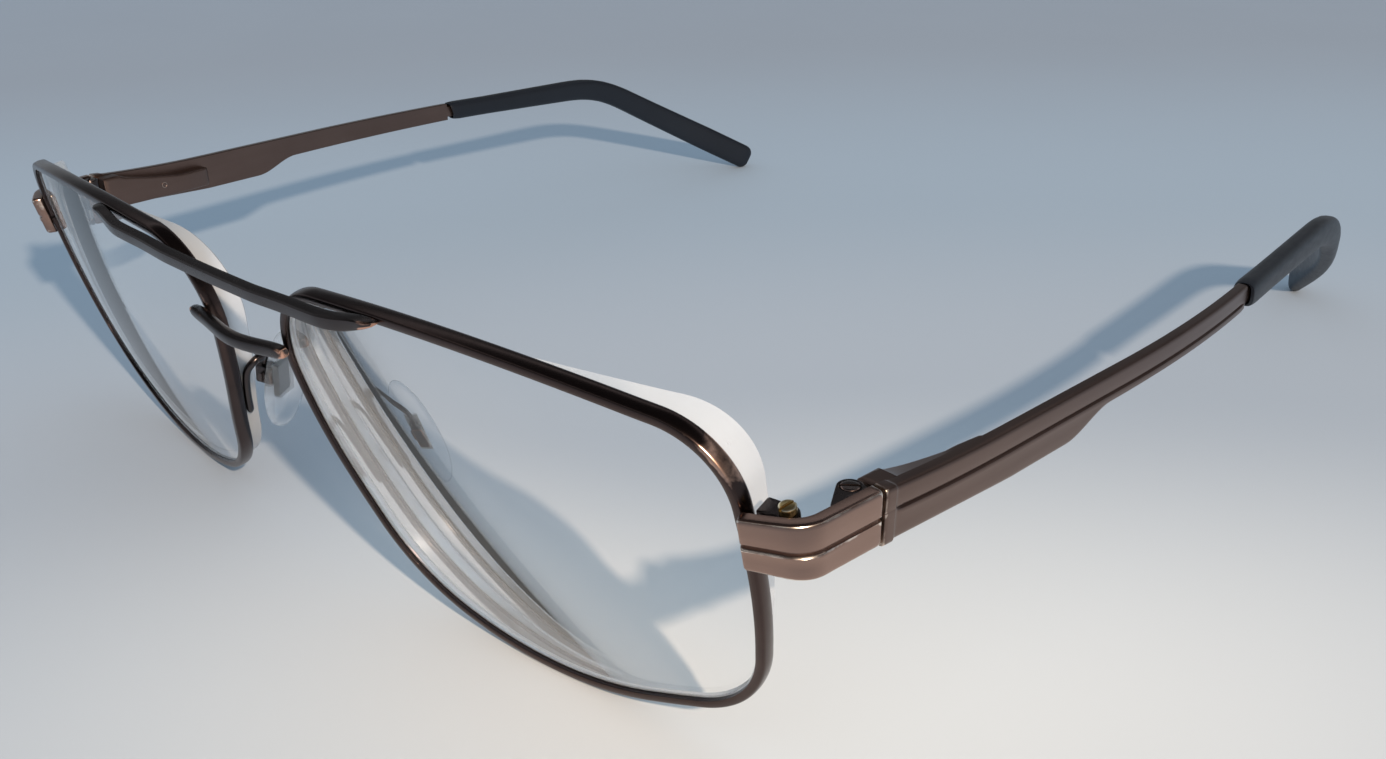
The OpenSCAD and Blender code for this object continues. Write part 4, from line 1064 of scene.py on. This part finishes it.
def pad_box():
    """Little cup open toward the pad."""
    rings = []
    for x, y, z, r, _ in CUP:
        outline = rounded([(y, z, r), (-y, z, r), (-y, -z, r), (y, -z, r)], 4)
        rings.append([pad((x, a, b)) for a, b in outline])
    return Shape().loft(rings, wear=[[row[-1]] for row in CUP])


def nasal_u(v):
    """Nasal side of the lens opening at height v."""
    best = 0.0
    for p, q in zip([s[0] for s in COARSE[:-1]], [s[0] for s in COARSE[1:]]):
        if (p[1] - v) * (q[1] - v) <= 0 and abs(q[1] - p[1]) > 1e-9:
            best = min(best, mix(p[0], q[0], (v - p[1]) / (q[1] - p[1])))
    return best


def on_rim(v, off):
    """Place for the arm's centre line behind the eyewire at height v, off further back."""
    u = nasal_u(v) - WIRE_T * 0.55
    return lens((u, sag(u, v) + WIRE_D + SEAT + ARM_R + off, v))


# up the back of the eyewire, over in a hook and down into the box
ARM_KNOTS = [on_rim(-ARM_LOW - 1, 0), on_rim(-ARM_LOW, 0), on_rim(-ARM_LOW / 2, 0), on_rim(-1, 0.35),
             on_rim(0.1, 1.7), pad((-1.35, -3.35, 4.9)), pad((0.6, -1.9, 4.6)), pad((0.45, -0.12, 3)),
             pad((0.45, 0, 1.23)), pad((0.45, 0, -0.8))]


def spline(a, b, c, d, t):
    """Smooth curve through knots, from b to c."""
    bend, twist = 2 * a - 5 * b + 4 * c - d, 3 * b - a - 3 * c + d
    return 0.5 * (2 * b + (c - a) * t + bend * t * t + twist * t ** 3)


def pad_arm():
    """Round wire along the knots, with a rounded lower end."""
    line = []
    for i in range(len(ARM_KNOTS) - 3):
        line += [spline(*ARM_KNOTS[i:i + 4], k / 12) for k in range(12)]
    line.append(ARM_KNOTS[-2])
    line[0] = line[0] - unit(line[1] - line[0]) * 0.02
    rings = []
    for i, p in enumerate(line):
        d = unit(line[min(i + 1, len(line) - 1)] - line[max(i - 1, 0)])
        s = unit(np.cross(d, (0.31, 0.2, 0.93)))
        r = ARM_R * math.sqrt(clamp(0.35 + i / 3))
        rings.append(bar(p, s, np.cross(s, d), r, r, 20, 2))
    return Shape().loft(rings)


for side, name in SIDES:
    build("nose_pad_" + name, pad_shape(), [PAD], "nose_pad_" + name, ["pad_" + name], side, 60)
    build("pad_box_shape_" + name, pad_box(), [GUN], "front", ["pad_box_" + name], side, 38)
    build("pad_arm_shape_" + name, pad_arm(), [GUN], "front", ["pad_arm_" + name], side, 60)

# nodes whose CAD shape is shown as it is
for node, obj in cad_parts.items():
    if not obj.hide_render:
        obj.data.materials.clear()
        obj.data.materials.append(PIN if "pad_screw" in node else STEEL)

# Table

LAMP_AT, LAMP_POWER = (0.2238, -0.1511, 0.1629), 37.0
# painted pool of light on the table, an oval that fades to painted blue-grey shade further off: its middle,
# its axes and the distance that a tone's place is a share of
POOL_AT, POOL_SHORT, POOL_LONG, POOL_REACH = (0.065, -0.055), (0.75, 0.66), (-1.32, 1.5), 0.7
PAINTED_LIGHT_TONES = [(0.0, (0.81, 0.8, 0.79)), (0.21, (0.41, 0.44, 0.49)), (0.45, (0.335, 0.385, 0.445)),
              (0.95, (0.29, 0.305, 0.34))]
# light on the table: the lamp's straight below it, the room's, and the sum that shows a tone as written
LAMP_SHARE, ROOM_SHARE, LIGHT_SUM = 2.4, 1.85, 3.24


def table_material():
    """Pale matt table with a faint grain, with a painted pool of light in an oval near the wearer's left that
    fades to painted blue-grey shade further off.
    """
    m, nt, b, _ = nodes_of("table")
    place = nt.nodes.new("ShaderNodeNewGeometry").outputs["Position"]
    sep = nt.nodes.new("ShaderNodeSeparateXYZ")
    nt.links.new(place, sep.inputs[0])
    x = math_node(nt, "SUBTRACT", sep.outputs["X"], POOL_AT[0])
    y = math_node(nt, "SUBTRACT", sep.outputs["Y"], POOL_AT[1])
    squares = []
    for ax, ay in (POOL_SHORT, POOL_LONG):
        along = math_node(nt, "ADD", math_node(nt, "MULTIPLY", x, ax), math_node(nt, "MULTIPLY", y, ay))
        squares.append(math_node(nt, "MULTIPLY", along, along))
    far_out = math_node(nt, "SQRT", math_node(nt, "ADD", *squares))
    share = math_node(nt, "DIVIDE", far_out, POOL_REACH, clampit=True)
    base = ramp(nt, share, PAINTED_LIGHT_TONES, "EASE")
    cloud = noise(nt, 14, detail=3)
    grain = noise(nt, 900, detail=4)
    base = mix_colour(nt, math_node(nt, "MULTIPLY", cloud, 0.1), base, (0.42, 0.45, 0.5))
    # the lamp's light thins out as it slants over the table, and the tone makes up for it
    gap = nt.nodes.new("ShaderNodeVectorMath")
    gap.operation = "DISTANCE"
    gap.inputs[1].default_value = LAMP_AT
    nt.links.new(place, gap.inputs[0])
    slant = math_node(nt, "DIVIDE", LAMP_AT[2], gap.outputs["Value"])
    light = math_node(nt, "MULTIPLY_ADD", slant, LAMP_SHARE, ROOM_SHARE)
    tone = nt.nodes.new("ShaderNodeVectorMath")
    tone.operation = "SCALE"
    nt.links.new(base, tone.inputs[0])
    nt.links.new(math_node(nt, "DIVIDE", LIGHT_SUM, light), tone.inputs["Scale"])
    nt.links.new(tone.outputs["Vector"], b.inputs["Base Color"])
    nt.links.new(number(nt, grain, 0.7, 0.9), b.inputs["Roughness"])
    b.inputs["Specular IOR Level"].default_value = 0.15
    bump(nt, b, grain, 0.04, 0.00005)
    return m


bm = bmesh.new()
bmesh.ops.create_grid(bm, x_segments=24, y_segments=24, size=6.0)
me = bpy.data.meshes.new("floor")
bm.to_mesh(me)
bm.free()
me.materials.append(table_material())
floor = bpy.data.objects.new("floor", me)
bpy.context.scene.collection.objects.link(floor)

# Room: one tone lights the object, and a dark room with a bright band shows in what is glossy

ROOM_LIGHT = (0.475, 0.595, 0.695)
ROOM_SEEN = [(0.0, (0.4, 0.43, 0.46)), (0.18, (0.27, 0.29, 0.31)), (0.36, (0.075, 0.078, 0.084)),
             (0.57, (0.05, 0.052, 0.058)), (0.61, (0.55, 0.56, 0.58)), (0.68, (0.55, 0.56, 0.58)),
             (0.73, (0.045, 0.047, 0.053)), (1.0, (0.038, 0.04, 0.045))]
# how much less of the seen room comes to a ray that goes through glass
GLASS_LESS = 0.75

world = bpy.data.worlds.new("studio")
bpy.context.scene.world = world
world.use_nodes = True
wt = world.node_tree
wt.nodes.clear()
height = wt.nodes.new("ShaderNodeSeparateXYZ")
wt.links.new(wt.nodes.new("ShaderNodeTexCoord").outputs["Generated"], height.inputs[0])
seen = wt.nodes.new("ShaderNodeBackground")
wt.links.new(ramp(wt, height.outputs["Z"], ROOM_SEEN), seen.inputs["Color"])
lit = wt.nodes.new("ShaderNodeBackground")
lit.inputs["Color"].default_value = (*ROOM_LIGHT, 1)
ray = wt.nodes.new("ShaderNodeLightPath")
share = math_node(wt, "MULTIPLY_ADD", ray.outputs["Is Transmission Ray"], -GLASS_LESS, 1.0)
share = math_node(wt, "MULTIPLY", ray.outputs["Is Glossy Ray"], share)
surface = wt.nodes.new("ShaderNodeOutputWorld").inputs["Surface"]
wt.links.new(mix_shader(wt, share, lit.outputs[0], seen.outputs[0]), surface)

# Lamp: small and hard, near the wearer's left, and as strong far away as near

lamp_data = bpy.data.lights.new("lamp", "POINT")
lamp_data.energy = LAMP_POWER
lamp_data.color = (1.0, 0.815, 0.63)
lamp_data.shadow_soft_size = 0.005
lamp_data.use_nodes = True
lamp_nodes = lamp_data.node_tree
falloff = lamp_nodes.nodes.new("ShaderNodeLightFalloff")
falloff.inputs["Strength"].default_value = 1.0
lamp_nodes.links.new(falloff.outputs["Constant"], lamp_nodes.nodes["Emission"].inputs["Strength"])
lamp = bpy.data.objects.new("lamp", lamp_data)
bpy.context.scene.collection.objects.link(lamp)
lamp.location = LAMP_AT

# Camera: its place in millimetres in the construction frame, and its turns in degrees

PHOTO_W, FOCAL_PX, SENSOR = 1386, 1204.398, 36.0
CAM_AT, CAM_TURN = (112.39512, -56.10736, 80.98668), (63.4026, 1.5589, 41.6073)

cam_data = bpy.data.cameras.new("camera")
cam_data.sensor_width = SENSOR
cam_data.sensor_fit = "HORIZONTAL"
cam_data.lens = FOCAL_PX / PHOTO_W * SENSOR
cam_data.clip_start, cam_data.clip_end = 0.005, 20
cam = bpy.data.objects.new("camera", cam_data)
bpy.context.scene.collection.objects.link(cam)
cam_at = Matrix.Translation((CAM_AT[0] / 1000, (CAM_AT[1] - SHIFT) / 1000, CAM_AT[2] / 1000))
cam.matrix_world = cam_at @ Euler([a * D for a in CAM_TURN]).to_matrix().to_4x4()
bpy.context.scene.camera = cam
bpy.context.scene.view_settings.view_transform = "Standard"
